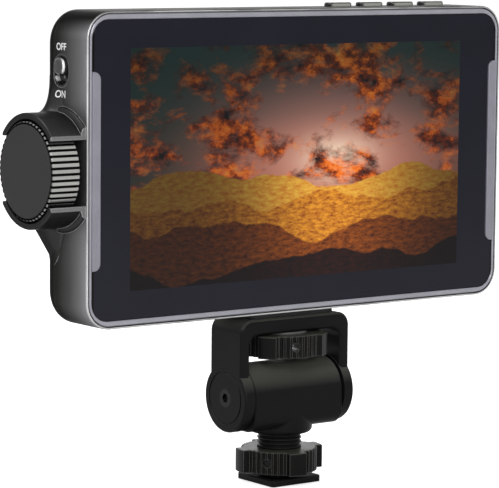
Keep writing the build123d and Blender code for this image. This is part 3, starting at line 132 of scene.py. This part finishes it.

# Painted highlights along sharp edges: radius in millimetres, turn of the normal where they begin and where
# they are full
PAINTED_EDGES = (0.3, 0.02, 0.12)
HOUSING_PAINTED_EDGES = (0.4, 0.08, 0.2)
HOUSING_PAINTED_EDGE_SHARE = 0.8

# Usual lowest and highest value of a noise, and the stops of a speckled and of a mottled colour
NOISE_SPAN = (0.3, 0.7)
SPECK_STOPS = (0.35, 0.7)
MOTTLE_STOPS = (0.35, 0.65)

# Painted light and shade of the housing, from a painted highlight on its front edge to painted shade at its
# back, of a board from its tracks to its mask, and of the dial's ribs from groove to crest, painted shade in
# the grooves
HOUSING_PAINTED_LIGHT_AND_SHADE = ((0.0, grey(0.62)), (0.03, (0.30, 0.30, 0.31)), (0.16, (0.20, 0.20, 0.205)),
                  (0.38, (0.095, 0.095, 0.094)), (0.60, (0.034, 0.034, 0.032)), (1.0, (0.012, 0.012, 0.011)))
BOARD_SHADES = ((0.03, (0.045, 0.2, 0.11)), (0.08, (0.012, 0.09, 0.05)))
RIB_PAINTED_SHADES = ((0.35, grey(0.006)), (0.75, (0.22, 0.22, 0.21)), (1.0, (0.40, 0.40, 0.385)))
GUARD_SHADE = grey(0.042)
EDGE_PAINTED_HIGHLIGHT = grey(0.60)

# Shades of the cover glass: over the picture, round it, and a painted shadow along its sides
GLASS_MIDDLE = (0.0015, 0.0015, 0.002)
GLASS_BORDER = (0.0085, 0.0085, 0.0145)
GLASS_SIDE_SHADOW = grey(0.001)

# Painted light and shade by where a surface looks: axis, how far along it they begin and are full, colour
TOP_CORNER_PAINTED_SHADE = ("Z", 0.20, 0.75, (0.014, 0.014, 0.013))
TOP_PAINTED_SHADE = ("Z", 0.90, 0.995, (0.042, 0.042, 0.031))
REAR_PAINTED_SHADE = ("Y", 0.70, 0.97, grey(0.036))
GUARD_CUT_HIGHLIGHT = ("Y", -0.75, -0.95, grey(0.20))
KEY_PAINTED_HIGHLIGHT = ("Y", -0.86, -0.995, (0.36, 0.36, 0.33))
KNOB_PAINTED_GLINT = ("Y", -0.45, -0.80, grey(0.85))
RECESS_PAINTED_GLINT = ("Y", -0.70, -0.93, grey(0.80))
PAINTED_TOP_LIGHT_SIDE = ("Z", 0.25, 0.95)

# How far the knob's painted glint reaches behind its face, and how far below the switch the recess's begins
KNOB_GLINT_WIDTH = 0.8
RECESS_GLINT_DROP = 1.5

# Picture: its height for the noises, as a share of its width
PICTURE_RATIO = 0.56

# Picture: soft patches of light by middle and width in shares of the picture, their strength and colour
LIGHT_ACROSS = (0.60, 0.30)
DIMMEST = 0.12
DIMMEST_CLOUD = 0.45
GLOW_UP = (0.50, 0.24)
GLOW_SHARE = 0.48
GLOW = (0.88, 0.38, 0.27)
CORE_ACROSS = (0.61, 0.10)
CORE_UP = (0.50, 0.09)
CORE_SHARE = 0.85
CORE = (1.0, 0.78, 0.58)

# Picture: sky from low to high, its unlit ends, clouds from dark to lit, how they dim higher up, their edge
SKY_SHADES = ((0.30, (0.36, 0.09, 0.03)), (0.48, (0.26, 0.07, 0.05)),
              (0.70, (0.034, 0.030, 0.034)), (0.95, (0.005, 0.019, 0.018)))
DUSK = (0.006, 0.018, 0.016)
CLOUD_SHADES = ((0.38, (0.010, 0.009, 0.010)), (0.48, (0.24, 0.034, 0.006)),
                (0.57, (0.95, 0.18, 0.016)), (0.70, (1.0, 0.42, 0.08)))
HIGH_CLOUD = ((0.45, WHITE), (0.95, (0.22, 0.30, 0.30)))
CLOUD_EDGE = (0.46, 0.58)

# Picture: hills by crest height and swing, folds across, dark and light shade, and seed
HILL_FOLDS = ((0.44, 0.10, 2.6, (0.66, 0.18, 0.012), (1.0, 0.60, 0.08), 3.1),
              (0.33, 0.12, 3.4, (0.26, 0.040, 0.005), (1.0, 0.40, 0.03), 7.7),
              (0.22, 0.12, 3.0, (0.045, 0.008, 0.004), (0.42, 0.10, 0.010), 5.3),
              (0.10, 0.14, 2.2, (0.003, 0.003, 0.004), (0.035, 0.008, 0.005), 12.3))
CREST_SPAN = (0.25, 0.75)
CREST_SOFTNESS = 0.008
GRASS_STOPS = (0.34, 0.66)


def add_object(name, data):
    """A new object in the scene."""
    made = bpy.data.objects.new(name, data)
    bpy.context.scene.collection.objects.link(made)
    return made


def feed(tree, socket, value):
    """Give a node's socket a link or a plain value, a colour without its fourth part."""
    if hasattr(value, "is_linked"):
        tree.links.new(value, socket)
    elif socket.type == "RGBA":
        socket.default_value = (*value, 1.0)
    else:
        socket.default_value = value


def add_node(tree, kind, inputs=None, **settings):
    """A new node with its settings, and with a link or a plain value for its inputs."""
    made = tree.nodes.new(kind)
    for key, value in settings.items():
        setattr(made, key, value)
    for key, value in (inputs or {}).items():
        feed(tree, made.inputs[key], value)
    return made


class Shader:
    """A material's node tree with short helpers for the nodes used here."""

    def __init__(self, name, **values):
        self.material = bpy.data.materials.new(name)
        self.material.use_nodes = True
        self.tree = self.material.node_tree
        self.bsdf = next(n for n in self.tree.nodes if n.type == "BSDF_PRINCIPLED")
        self.place = self.node("ShaderNodeTexCoord").outputs["Object"]
        self.give(**values)

    def node(self, kind, inputs=None, **settings):
        """A new node in this tree."""
        return add_node(self.tree, kind, inputs, **settings)

    def give(self, **values):
        """Links or plain values for the surface's inputs, such as Base_Color."""
        for key, value in values.items():
            feed(self.tree, self.bsdf.inputs[key.replace("_", " ")], value)

    def parts(self, vector=None):
        """X, Y and Z of a vector, or else of the place on the piece."""
        return self.node("ShaderNodeSeparateXYZ", {"Vector": vector or self.place}).outputs

    def noise(self, scale, detail=3.0, roughness=0.5, stretch=None, distortion=0.0, place=None):
        """Noise over the piece or over another place, stretch being the scale along each axis."""
        place = place or self.place
        if stretch:
            place = self.node("ShaderNodeMapping", {"Vector": place, "Scale": stretch}).outputs["Vector"]
        inputs = {"Vector": place, "Scale": scale, "Detail": detail, "Roughness": roughness,
                  "Distortion": distortion}
        return self.node("ShaderNodeTexNoise", inputs).outputs["Fac"]

    def cells(self, scale, **settings):
        """Distance in a pattern of cells over the piece."""
        inputs = {"Vector": self.place, "Scale": scale}
        return self.node("ShaderNodeTexVoronoi", inputs, **settings).outputs["Distance"]

    def ramp(self, source, stops):
        """Colours along a value from 0 to 1, blended between stops of a place and a colour each."""
        made = self.node("ShaderNodeValToRGB", {"Fac": source})
        elements = made.color_ramp.elements
        while len(elements) < len(stops):
            elements.new(0.5)
        for element, (place, colour) in zip(elements, stops):
            element.position = place
            element.color = (*colour, 1.0)
        return made.outputs["Color"]

    def remap(self, source, low, high, to_low=0.0, to_high=1.0):
        """A value between low and high carried over to another span and held within it."""
        inputs = {"Value": source, "From Min": low, "From Max": high, "To Min": to_low, "To Max": to_high}
        return self.node("ShaderNodeMapRange", inputs).outputs["Result"]

    def vary(self, noise, low, high):
        """A noise spread over the values from low to high."""
        return self.remap(noise, *NOISE_SPAN, low, high)

    def math(self, operation, first, second=0.0):
        """One step of arithmetic, or a comparison that gives 0 or 1."""
        return self.node("ShaderNodeMath", {0: first, 1: second}, operation=operation).outputs["Value"]

    def times(self, first, second):
        """Two values multiplied."""
        return self.math("MULTIPLY", first, second)

    def off(self, value, centre, width):
        """How many widths a value lies off a centre, squared."""
        widths = self.math("DIVIDE", self.math("SUBTRACT", value, centre), width)
        return self.times(widths, widths)

    def fade(self, square):
        """Bell from 1 at the centre to 0 far off, by a squared distance."""
        return self.math("EXPONENT", self.times(square, -1.0))

    def mix(self, factor, first, second, blend="MIX"):
        """Two colours blended: inputs 6 and 7 of a mix node, and output 2, are its colours."""
        inputs = {0: factor, 6: first, 7: second}
        return self.node("ShaderNodeMix", inputs, data_type="RGBA", blend_type=blend).outputs[2]

    def tint(self, first, second):
        """Two colours multiplied."""
        return self.mix(1.0, first, second, "MULTIPLY")

    def speckled(self, base, noise, darkest):
        """Base colour with fine darker specks."""
        return self.tint(base, self.ramp(noise, tuple(zip(SPECK_STOPS, (grey(darkest), WHITE)))))

    def bump(self, height, strength, depth, edge=None):
        """Fine relief with a depth, and with rounded edges if they have a radius, both in millimetres."""
        inputs = {"Height": height, "Strength": strength, "Distance": depth * MM}
        if edge:
            inputs["Normal"] = self.round_edges(edge)
        self.give(Normal=self.node("ShaderNodeBump", inputs).outputs["Normal"])

    def round_edges(self, radius):
        """Normal that rounds off sharp edges by a radius in millimetres."""
        return self.node("ShaderNodeBevel", {"Radius": radius * MM}, samples=EDGE_SAMPLES).outputs["Normal"]

    def sharp_edge_mask(self, radius, low, high):
        """Mask that is full where the rounded normal leaves the surface's own, so along sharp edges."""
        normals = {0: self.round_edges(radius), 1: self.node("ShaderNodeNewGeometry").outputs["Normal"]}
        turn = self.node("ShaderNodeVectorMath", normals, operation="DOT_PRODUCT")
        return self.remap(self.math("SUBTRACT", 1.0, turn.outputs["Value"]), low, high)

    def facing(self, axis, low, high):
        """Mask from 0 to 1 by how far the surface looks along an axis of the piece's own."""
        normal = self.node("ShaderNodeTexCoord").outputs["Normal"]
        return self.remap(self.parts(normal)[axis], low, high)

    def sided(self, base, axis, low, high, colour):
        """Base colour with another one where the surface looks along an axis."""
        return self.mix(self.facing(axis, low, high), base, colour)


def mottled(colour, spread):
    """Two stops of a ramp, darker and lighter than a colour by a share."""
    shades = (tuple(c * (1 - spread) for c in colour), tuple(c * (1 + spread) for c in colour))
    return tuple(zip(MOTTLE_STOPS, shades))


def blasted_metal(name, colour, metallic, roughness, grain=BLAST_GRAIN, bump=0.12, specular=0.3,
                  painted_top_light=None, painted_edge_light=None):
    """Bead-blasted and painted or anodised metal. It may have a painted highlight on its upper side and one
    on its sharp edges.
    """
    shader = Shader(name, Metallic=metallic, Specular_IOR_Level=specular)
    cloudy = shader.noise(scale=160.0, detail=4.0)
    fine = shader.noise(grain, detail=2.0, roughness=0.6)
    base = shader.ramp(cloudy, mottled(colour, spread=0.05))
    if painted_top_light:
        base = shader.sided(base, *PAINTED_TOP_LIGHT_SIDE, painted_top_light)
    if painted_edge_light:
        base = shader.mix(shader.sharp_edge_mask(*PAINTED_EDGES), base, painted_edge_light)
    shader.give(Base_Color=shader.speckled(base, fine, darkest=0.82),
                Roughness=shader.vary(cloudy, low=roughness - 0.04, high=roughness + 0.04))
    shader.bump(fine, strength=bump, depth=BLAST_DEPTH, edge=PAINT_EDGE)
    return shader


def black_metal(name, colour, roughness, specular, painted_top_light=None, painted_edge_light=None):
    """Black anodised metal of the mount."""
    return blasted_metal(name, colour, metallic=0.0, roughness=roughness, grain=MOUNT_GRAIN, bump=0.2,
                         specular=specular, painted_top_light=painted_top_light, painted_edge_light=painted_edge_light)


def housing_metal(name):
    """Gunmetal shell with a fine blasted grain, its colour painted light and shade: bright at its front
    edge, darker towards the back.
    """
    shader = Shader(name, Metallic=0.9, Specular_Tint=grey(0.30))
    place = shader.parts()
    cloudy = shader.noise(scale=70.0, detail=4.0, stretch=(1.0, 1.0, 0.35))
    # Painted highlight at the front edge, fading to painted shade towards the back, by depth
    depth = shader.remap(place["Y"], FRONT_Y * MM, REAR_Y * MM)
    drift = shader.vary(cloudy, low=-0.04, high=0.04)
    shade = shader.ramp(shader.math("ADD", depth, drift), HOUSING_PAINTED_LIGHT_AND_SHADE)
    # Painted shade: the top's rounded corner darker, and the flat top one dark olive shade of its own
    shade = shader.sided(shade, *TOP_CORNER_PAINTED_SHADE)
    shade = shader.sided(shade, *TOP_PAINTED_SHADE)
    # The guard stands outside the left wall, which lies as far out as the right one
    guard = shader.math("LESS_THAN", place["X"], -(RIGHT_X + GUARD_START) * MM)
    # The guard has its own dark grey, with a painted highlight on its cut faces that look forward
    shade = shader.mix(guard, shade, shader.sided(GUARD_SHADE, *GUARD_CUT_HIGHLIGHT))
    # Painted shade: the back face one dark grey of its own
    shade = shader.sided(shade, *REAR_PAINTED_SHADE)
    # Painted highlight along the sharp edges and creases
    edges = shader.times(shader.sharp_edge_mask(*HOUSING_PAINTED_EDGES), HOUSING_PAINTED_EDGE_SHARE)
    shade = shader.mix(edges, shade, EDGE_PAINTED_HIGHLIGHT)
    fine = shader.noise(BLAST_GRAIN, detail=2.0, roughness=0.6)
    shader.give(Base_Color=shader.speckled(shade, fine, darkest=0.80),
                Roughness=shader.vary(cloudy, low=0.36, high=0.44))
    shader.bump(fine, strength=0.12, depth=BLAST_DEPTH, edge=HOUSING_EDGE)
    return shader


def lathe_noise(shader, axis):
    """Fine lines round an axis, as a lathe leaves them."""
    stretch = tuple(1.0 if letter == axis else LATHE_STRETCH for letter in "XYZ")
    return shader.noise(LATHE_LINES, detail=2.0, stretch=stretch)


def turned_metal(name, colour, roughness, axis):
    """Machined metal, turned about one axis."""
    shader = Shader(name, Metallic=1.0)
    lathe = lathe_noise(shader, axis)
    cloudy = shader.noise(scale=300.0, detail=3.0)
    shader.give(Base_Color=shader.ramp(cloudy, mottled(colour, spread=0.08)),
                Roughness=shader.vary(lathe, low=roughness - 0.06, high=roughness + 0.08))
    shader.bump(lathe, strength=0.2, depth=LATHE_DEPTH, edge=TURNED_EDGE)
    return shader


def knurled_metal(name):
    """Bright turned ribs with painted shade going black in their grooves, by the distance from the dial's
    axis.
    """
    shader = Shader(name, Metallic=1.0, Specular_Tint=grey(0.5))
    place = shader.parts()
    across = shader.math("SUBTRACT", place["Y"], CONTROL_Y * MM)
    up = shader.math("SUBTRACT", place["Z"], DIAL_Z * MM)
    square = shader.math("ADD", shader.times(across, across), shader.times(up, up))
    radius = shader.math("SQRT", square)
    height = shader.remap(radius, (DIAL_RADIUS - RIB_DEPTH) * MM, DIAL_RADIUS * MM)
    lathe = lathe_noise(shader, "X")
    # Painted shade: the ribs darken to black at the bottom of their grooves
    shader.give(Base_Color=shader.ramp(height, RIB_PAINTED_SHADES),
                Roughness=shader.vary(lathe, low=0.26, high=0.38))
    shader.bump(lathe, strength=0.2, depth=LATHE_DEPTH, edge=TURNED_EDGE)
    return shader


def moulded_plastic(name, colour, roughness, grain=2600.0, bump=0.18, specular=0.35):
    """Moulded plastic with a fine spark-eroded texture."""
    shader = Shader(name, Specular_IOR_Level=specular)
    pebbles = shader.cells(grain, feature="SMOOTH_F1")
    cloudy = shader.noise(scale=220.0, detail=3.0)
    shader.give(Base_Color=shader.ramp(cloudy, mottled(colour, spread=0.08)),
                Roughness=shader.vary(cloudy, low=roughness - 0.05, high=roughness + 0.05))
    shader.bump(pebbles, strength=bump, depth=MOULD_DEPTH, edge=MOULD_EDGE)
    return shader


def paint_highlight(shader, axis, low, high, colour, below=None):
    """Painted highlight on walls that look along an axis, with below only up to a place on another axis."""
    mask = shader.facing(axis, low, high)
    if below:
        other, limit = below
        mask = shader.times(mask, shader.math("LESS_THAN", shader.parts()[other], limit * MM))
    base = shader.bsdf.inputs["Base Color"].links[0].from_socket
    shader.give(Base_Color=shader.mix(mask, base, colour))
    return shader


def key_gloss(name):
    """Glossy key with a painted highlight on its flat front; its round ends stay dark."""
    shader = moulded_plastic(name, grey(0.012), roughness=0.2, grain=KEY_GRAIN, bump=0.04, specular=0.4)
    return paint_highlight(shader, *KEY_PAINTED_HIGHLIGHT)


def knob_gloss(name):
    """Glossy knob with a painted glint on its wall, close behind its face."""
    shader = moulded_plastic(name, grey(0.030), roughness=0.16, grain=KEY_GRAIN, bump=0.03, specular=0.8)
    return paint_highlight(shader, *KNOB_PAINTED_GLINT, below=("X", KNOB_FACE + KNOB_GLINT_WIDTH))


def recess_gloss(name):
    """Glossy liner of the switch's recess with a painted glint on the lower part of its wall."""
    shader = moulded_plastic(name, grey(0.004), roughness=0.18, bump=0.03, specular=0.5)
    return paint_highlight(shader, *RECESS_PAINTED_GLINT, below=("Z", SWITCH_Z - RECESS_GLINT_DROP))


def rubber(name, colour):
    """Soft matte rubber with a faint pebble."""
    return moulded_plastic(name, colour, roughness=0.75, grain=1800.0, bump=0.3, specular=0.3)


def board_material(name):
    """Green solder mask with lighter tracks."""
    shader = Shader(name, Roughness=0.35)
    tracks = shader.cells(TRACK_SCALE, feature="DISTANCE_TO_EDGE", distance="CHEBYCHEV")
    shader.give(Base_Color=shader.ramp(tracks, BOARD_SHADES))
    shader.bump(tracks, strength=0.15, depth=TRACK_DEPTH)
    return shader


def picture_sky(shader, place, across, up, light, warmth):
    """Sky of the picture: haze and a glow low over the hills, dark teal at the top, and banks of cloud."""
    dusk = shader.mix(light, DUSK, shader.ramp(up, SKY_SHADES))
    glow = shader.times(shader.fade(shader.off(up, *GLOW_UP)), light)
    sky = shader.mix(shader.times(glow, GLOW_SHARE), dusk, GLOW)
    # Pale heart of the glow
    core = shader.fade(shader.math("ADD", shader.off(across, *CORE_ACROSS), shader.off(up, *CORE_UP)))
    sky = shader.mix(shader.times(core, CORE_SHARE), sky, CORE)
    # Banks of cloud lit from below
    banks = shader.noise(scale=5.0, detail=9.0, roughness=0.66, stretch=(1.0, 1.8, 1.0), distortion=0.35,
                         place=place)
    lit = shader.noise(scale=15.0, detail=8.0, roughness=0.7, stretch=(1.0, 1.4, 1.0), place=place)
    cloud = shader.tint(shader.ramp(lit, CLOUD_SHADES), shader.ramp(up, HIGH_CLOUD))
    cloud = shader.tint(cloud, shader.remap(warmth, DIMMEST, 1.0, DIMMEST_CLOUD, 1.0))
    return shader.mix(shader.remap(banks, *CLOUD_EDGE), sky, cloud)


def picture_colour(shader, across, up):
    """Evening scene of the script's own: clouds and a glow over folded hills, across and up from 0 to 1."""
    flat = shader.node("ShaderNodeCombineXYZ", {"X": across, "Y": shader.times(up, PICTURE_RATIO)})
    place = flat.outputs["Vector"]
    # Light from one side: full in a patch right of the middle, faint at both ends
    light = shader.fade(shader.off(across, *LIGHT_ACROSS))
    warmth = shader.remap(shader.times(light, light), 0.0, 1.0, DIMMEST, 1.0)
    colour = picture_sky(shader, place, across, up, light, warmth)
    # Four folds of hills, each with its own crest line, darker the nearer they are
    grass = shader.noise(scale=46.0, detail=8.0, roughness=0.72, stretch=(1.0, 2.4, 1.0), place=place)
    for height, swing, folds, dark, pale, seed in HILL_FOLDS:
        line = shader.node("ShaderNodeCombineXYZ", {"X": across, "Y": seed}).outputs["Vector"]
        crest = shader.noise(folds, detail=5.0, roughness=0.45, place=line)
        top = shader.remap(crest, *CREST_SPAN, height - swing, height + swing)
        mask = shader.remap(shader.math("SUBTRACT", top, up), 0.0, CREST_SOFTNESS)
        hill = shader.tint(shader.ramp(grass, tuple(zip(GRASS_STOPS, (dark, pale)))), warmth)
        colour = shader.mix(mask, colour, hill)
    return colour


def cover_glass_material(name):
    """Dark glass with the lit picture behind it, a plain dark border round the picture, and a painted shadow
    along its left and right edges.
    """
    shader = Shader(name, Specular_IOR_Level=0.16, IOR=1.5, Emission_Strength=1.0)
    place = shader.parts()
    # The picture fills the panel within its border, and shows on the glass's front face only
    mask = shader.math("LESS_THAN", place["Y"], (GLASS_Y + GLASS_SKIN) * MM)
    shares = []
    for number, axis in ((0, "X"), (2, "Z")):
        low = PANEL_LOW[number] + PANEL_BORDER * MM
        high = PANEL_HIGH[number] - PANEL_BORDER * MM
        inside = shader.times(shader.math("GREATER_THAN", place[axis], low),
                              shader.math("LESS_THAN", place[axis], high))
        mask = shader.times(mask, inside)
        shares.append(shader.remap(place[axis], low, high))
    smear = shader.noise(scale=60.0, detail=3.0)
    # Painted shadow: a near-black strip along the glass's left and right edges
    aside = shader.math("ABSOLUTE", place["X"])
    side_shadow = shader.math("GREATER_THAN", aside, (GLASS_X - SIDE_SHADOW_WIDTH) * MM)
    border = shader.mix(side_shadow, shader.ramp(smear, mottled(GLASS_BORDER, spread=0.06)), GLASS_SIDE_SHADOW)
    shader.give(Base_Color=shader.mix(mask, border, GLASS_MIDDLE),
                Roughness=shader.vary(smear, low=0.10, high=0.14),
                Emission_Color=shader.mix(mask, grey(0.0), picture_colour(shader, *shares)))
    return shader


def floor_material():
    """Near-white floor: it takes the object's shadow, and for the camera its own light lifts it."""
    shader = Shader("floor_pale", Base_Color=grey(0.90), Roughness=0.9, Specular_IOR_Level=0.0,
                    Emission_Color=WHITE)
    seen = shader.node("ShaderNodeLightPath").outputs["Is Camera Ray"]
    shader.give(Emission_Strength=shader.times(seen, FLOOR_LIFT))
    return shader


def make_camera():
    """Camera from the three turns: about Z, then the level axis, then the view axis."""
    yaw, pitch, roll = (math.radians(v) for v in (CAMERA_YAW, CAMERA_PITCH, CAMERA_ROLL))
    turn = Matrix.Rotation(roll, 3, "Y") @ Matrix.Rotation(pitch, 3, "X") @ Matrix.Rotation(yaw, 3, "Z")
    right, forward, up = turn[0], turn[1], turn[2]
    axes = Matrix((right, up, -forward)).transposed().to_4x4()
    data = bpy.data.cameras.new("camera")
    data.sensor_width = SENSOR
    data.lens = FOCAL_PX * SENSOR / IMAGE_WIDTH
    data.clip_start, data.clip_end = CAMERA_REACH
    camera = add_object("camera", data)
    camera.matrix_world = Matrix.Translation(Vector(CAMERA_PLACE) * MM) @ axes
    bpy.context.scene.camera = camera


def make_world():
    """Soft grey daylight on the object, and plain white for the camera, metal and glass."""
    world = bpy.data.worlds.new("surroundings")
    bpy.context.scene.world = world
    world.use_nodes = True
    tree = world.node_tree
    tree.nodes.clear()
    rays = add_node(tree, "ShaderNodeLightPath").outputs
    seen = rays["Is Camera Ray"]
    for kind in ("Is Glossy Ray", "Is Transmission Ray"):
        either = add_node(tree, "ShaderNodeMath", {0: seen, 1: rays[kind]}, operation="MAXIMUM")
        seen = either.outputs["Value"]
    soft = add_node(tree, "ShaderNodeBackground", {"Color": WHITE, "Strength": DAYLIGHT})
    white = add_node(tree, "ShaderNodeBackground", {"Color": WHITE, "Strength": BACKGROUND})
    mix = add_node(tree, "ShaderNodeMixShader", {0: seen, 1: soft.outputs[0], 2: white.outputs[0]})
    add_node(tree, "ShaderNodeOutputWorld", {"Surface": mix.outputs[0]})


def make_stage():
    """Floor, surroundings and soft lamps."""
    mesh = bpy.data.meshes.new("floor")
    signs = ((-1, -1), (1, -1), (1, 1), (-1, 1))
    corners = [(x * FLOOR_REACH, y * FLOOR_REACH, FLOOR_LEVEL) for x, y in signs]
    mesh.from_pydata(corners, [], [(0, 1, 2, 3)])
    mesh.materials.append(floor_material().material)
    floor = add_object("floor", mesh)
    make_world()
    for name, place, size, power in LAMPS:
        data = bpy.data.lights.new(name, "AREA")
        data.shape = "SQUARE"
        data.size = size
        data.energy = power
        lamp = add_object(name, data)
        lamp.location = place
        aim = Vector(LAMP_AIM) - Vector(place)
        lamp.rotation_euler = aim.to_track_quat("-Z", "Y").to_euler()
    bpy.context.scene.view_settings.view_transform = "Standard"


def dress(shader, *names):
    """Give CAD nodes a material of their own."""
    for name in names:
        materials = nodes[name].data.materials
        materials.clear()
        materials.append(shader.material)


def switch_word(word, middle_z, shader):
    """A short printed word laid on the left wall, each point where a ray meets the housing."""
    name = f"word_{word.lower()}"
    data = bpy.data.curves.new(name, "FONT")
    data.body = word
    data.align_x = "CENTER"
    data.align_y = "CENTER"
    data.resolution_u = LETTER_STEPS
    data.offset = LETTER_BOLD
    data.extrude = LETTER_DEPTH
    text = add_object(f"{name}_curve", data)
    bpy.context.view_layer.update()
    graph = bpy.context.evaluated_depsgraph_get()
    mesh = bpy.data.meshes.new_from_object(text.evaluated_get(graph))
    bpy.data.objects.remove(text)
    low = min(v.co.y for v in mesh.vertices)
    high = max(v.co.y for v in mesh.vertices)
    scale = WORD_HEIGHT / (high - low)
    start_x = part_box("main_housing")[0][0] - RAY_START * MM
    for vertex in mesh.vertices:
        y = (CONTROL_Y - vertex.co.x * scale) * MM
        z = (middle_z + (vertex.co.y - (low + high) / 2) * scale) * MM
        wall = nodes["main_housing"].ray_cast(Vector((start_x, y, z)), Vector((1.0, 0.0, 0.0)))[1]
        proud = WORD_PROUD if vertex.co.z > 0 else -WORD_SUNK
        vertex.co = Vector((wall.x - proud * MM, y, z))
    mesh.materials.append(shader.material)
    piece = add_object(name, mesh)
    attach(piece, "monitor")


make_camera()
make_stage()

# Monitor's outside
dress(housing_metal("housing_paint"), "main_housing", "rear_cover")
dress(blasted_metal("frame_paint", (0.33, 0.33, 0.37), metallic=0.5, roughness=0.36), "front_frame")
dress(blasted_metal("trim_paint", (0.25, 0.245, 0.285), metallic=0.3, roughness=0.42),
      "left_trim", "right_trim")
dress(cover_glass_material("cover_glass_lit"), "cover_glass")
dress(moulded_plastic("sensor_dark", (0.008, 0.008, 0.009), roughness=0.12, bump=0.02),
      "light_sensor_window")
dress(moulded_plastic("plate_plastic", (0.030, 0.030, 0.031), roughness=0.55),
      "battery_plate", "battery_latch")
dress(turned_metal("contact_gold", (0.83, 0.60, 0.22), roughness=0.25, axis="Z"), "battery_contacts")
dress(blasted_metal("tinned_shell", (0.55, 0.55, 0.56), metallic=0.95, roughness=0.3),
      "hdmi_input_socket", "hdmi_output_socket", "usb_socket")
dress(moulded_plastic("socket_black", grey(0.018), roughness=0.45), "headphone_socket", "power_socket")

# Controls
dress(knurled_metal("dial_silver"), "dial_knurled_ring")
dress(blasted_metal("dial_face", grey(0.036), metallic=0.0, roughness=0.6, bump=0.15, specular=0.1),
      "dial_face_disc")
dress(moulded_plastic("dial_dark", grey(0.03), roughness=0.6), "dial_core")
dress(key_gloss("button_plastic"), "top_button_1", "top_button_2", "top_button_3", "top_button_4")
dress(knob_gloss("knob_plastic"), "power_switch_knob")
dress(recess_gloss("bezel_black"), "switch_bezel")

# Mount
# Painted highlight on the upward faces of the barrel and yoke
dress(black_metal("mount_black", (0.0058, 0.0060, 0.0063), roughness=0.36, specular=0.07,
                  painted_top_light=(0.090, 0.090, 0.078)),
      "tilt_barrel", "yoke", "yoke_cover_discs")
# Painted highlights on the wheels' upward faces and along their flute crests
dress(black_metal("wheel_black", (0.0040, 0.0040, 0.0036), roughness=0.34, specular=0.09,
                  painted_top_light=(0.040, 0.040, 0.032), painted_edge_light=(0.11, 0.11, 0.10)),
      "lock_wheel", "thumb_wheel")
# Painted highlight along the sharp edges of the foot and the neck's threads
dress(black_metal("neck_black", grey(0.0055), roughness=0.36, specular=0.09, painted_edge_light=(0.022, 0.022, 0.020)),
      "shoe_foot", "threaded_neck")
dress(turned_metal("screw_black", grey(0.022), roughness=0.36, axis="X"),
      "tilt_screws", "lock_wheel_set_screw")
dress(rubber("pad_rubber", grey(0.016)), "yoke_pad")

# Inside and fasteners
dress(turned_metal("dark_steel", grey(0.06), roughness=0.36, axis="X"),
      "foot_screw", "rear_cover_screws", "battery_plate_screws")
dress(turned_metal("bright_steel", grey(0.72), roughness=0.22, axis="Z"),
      "thumb_wheel_set_screw", "mount_screw", "board_screws", "encoder_shaft", "latch_spring")
dress(turned_metal("insert_brass", (0.72, 0.52, 0.25), roughness=0.3, axis="Z"), "thread_insert")
dress(blasted_metal("plain_aluminium", (0.60, 0.60, 0.61), metallic=0.9, roughness=0.4),
      "chassis_plate", "heat_spreader")
dress(moulded_plastic("inner_plastic", grey(0.10), roughness=0.55),
      "clamp_washer", "thumb_washer", "tilt_friction_washers", "dial_encoder", "encoder_plunger",
      "switch_module", "press_switches", "backlight_unit")
dress(board_material("board_green"), "main_board", "button_board")
dress(moulded_plastic("ribbon_film", (0.50, 0.28, 0.06), roughness=0.3, bump=0.05), "panel_ribbon")
dress(moulded_plastic("panel_back", (0.05, 0.05, 0.055), roughness=0.5), "display_panel")

# Print
word_white = moulded_plastic("word_white", grey(0.80), roughness=0.5, bump=0.05)
switch_word("OFF", SWITCH_Z + OFF_ABOVE, word_white)
switch_word("ON", SWITCH_Z - ON_BELOW, word_white)
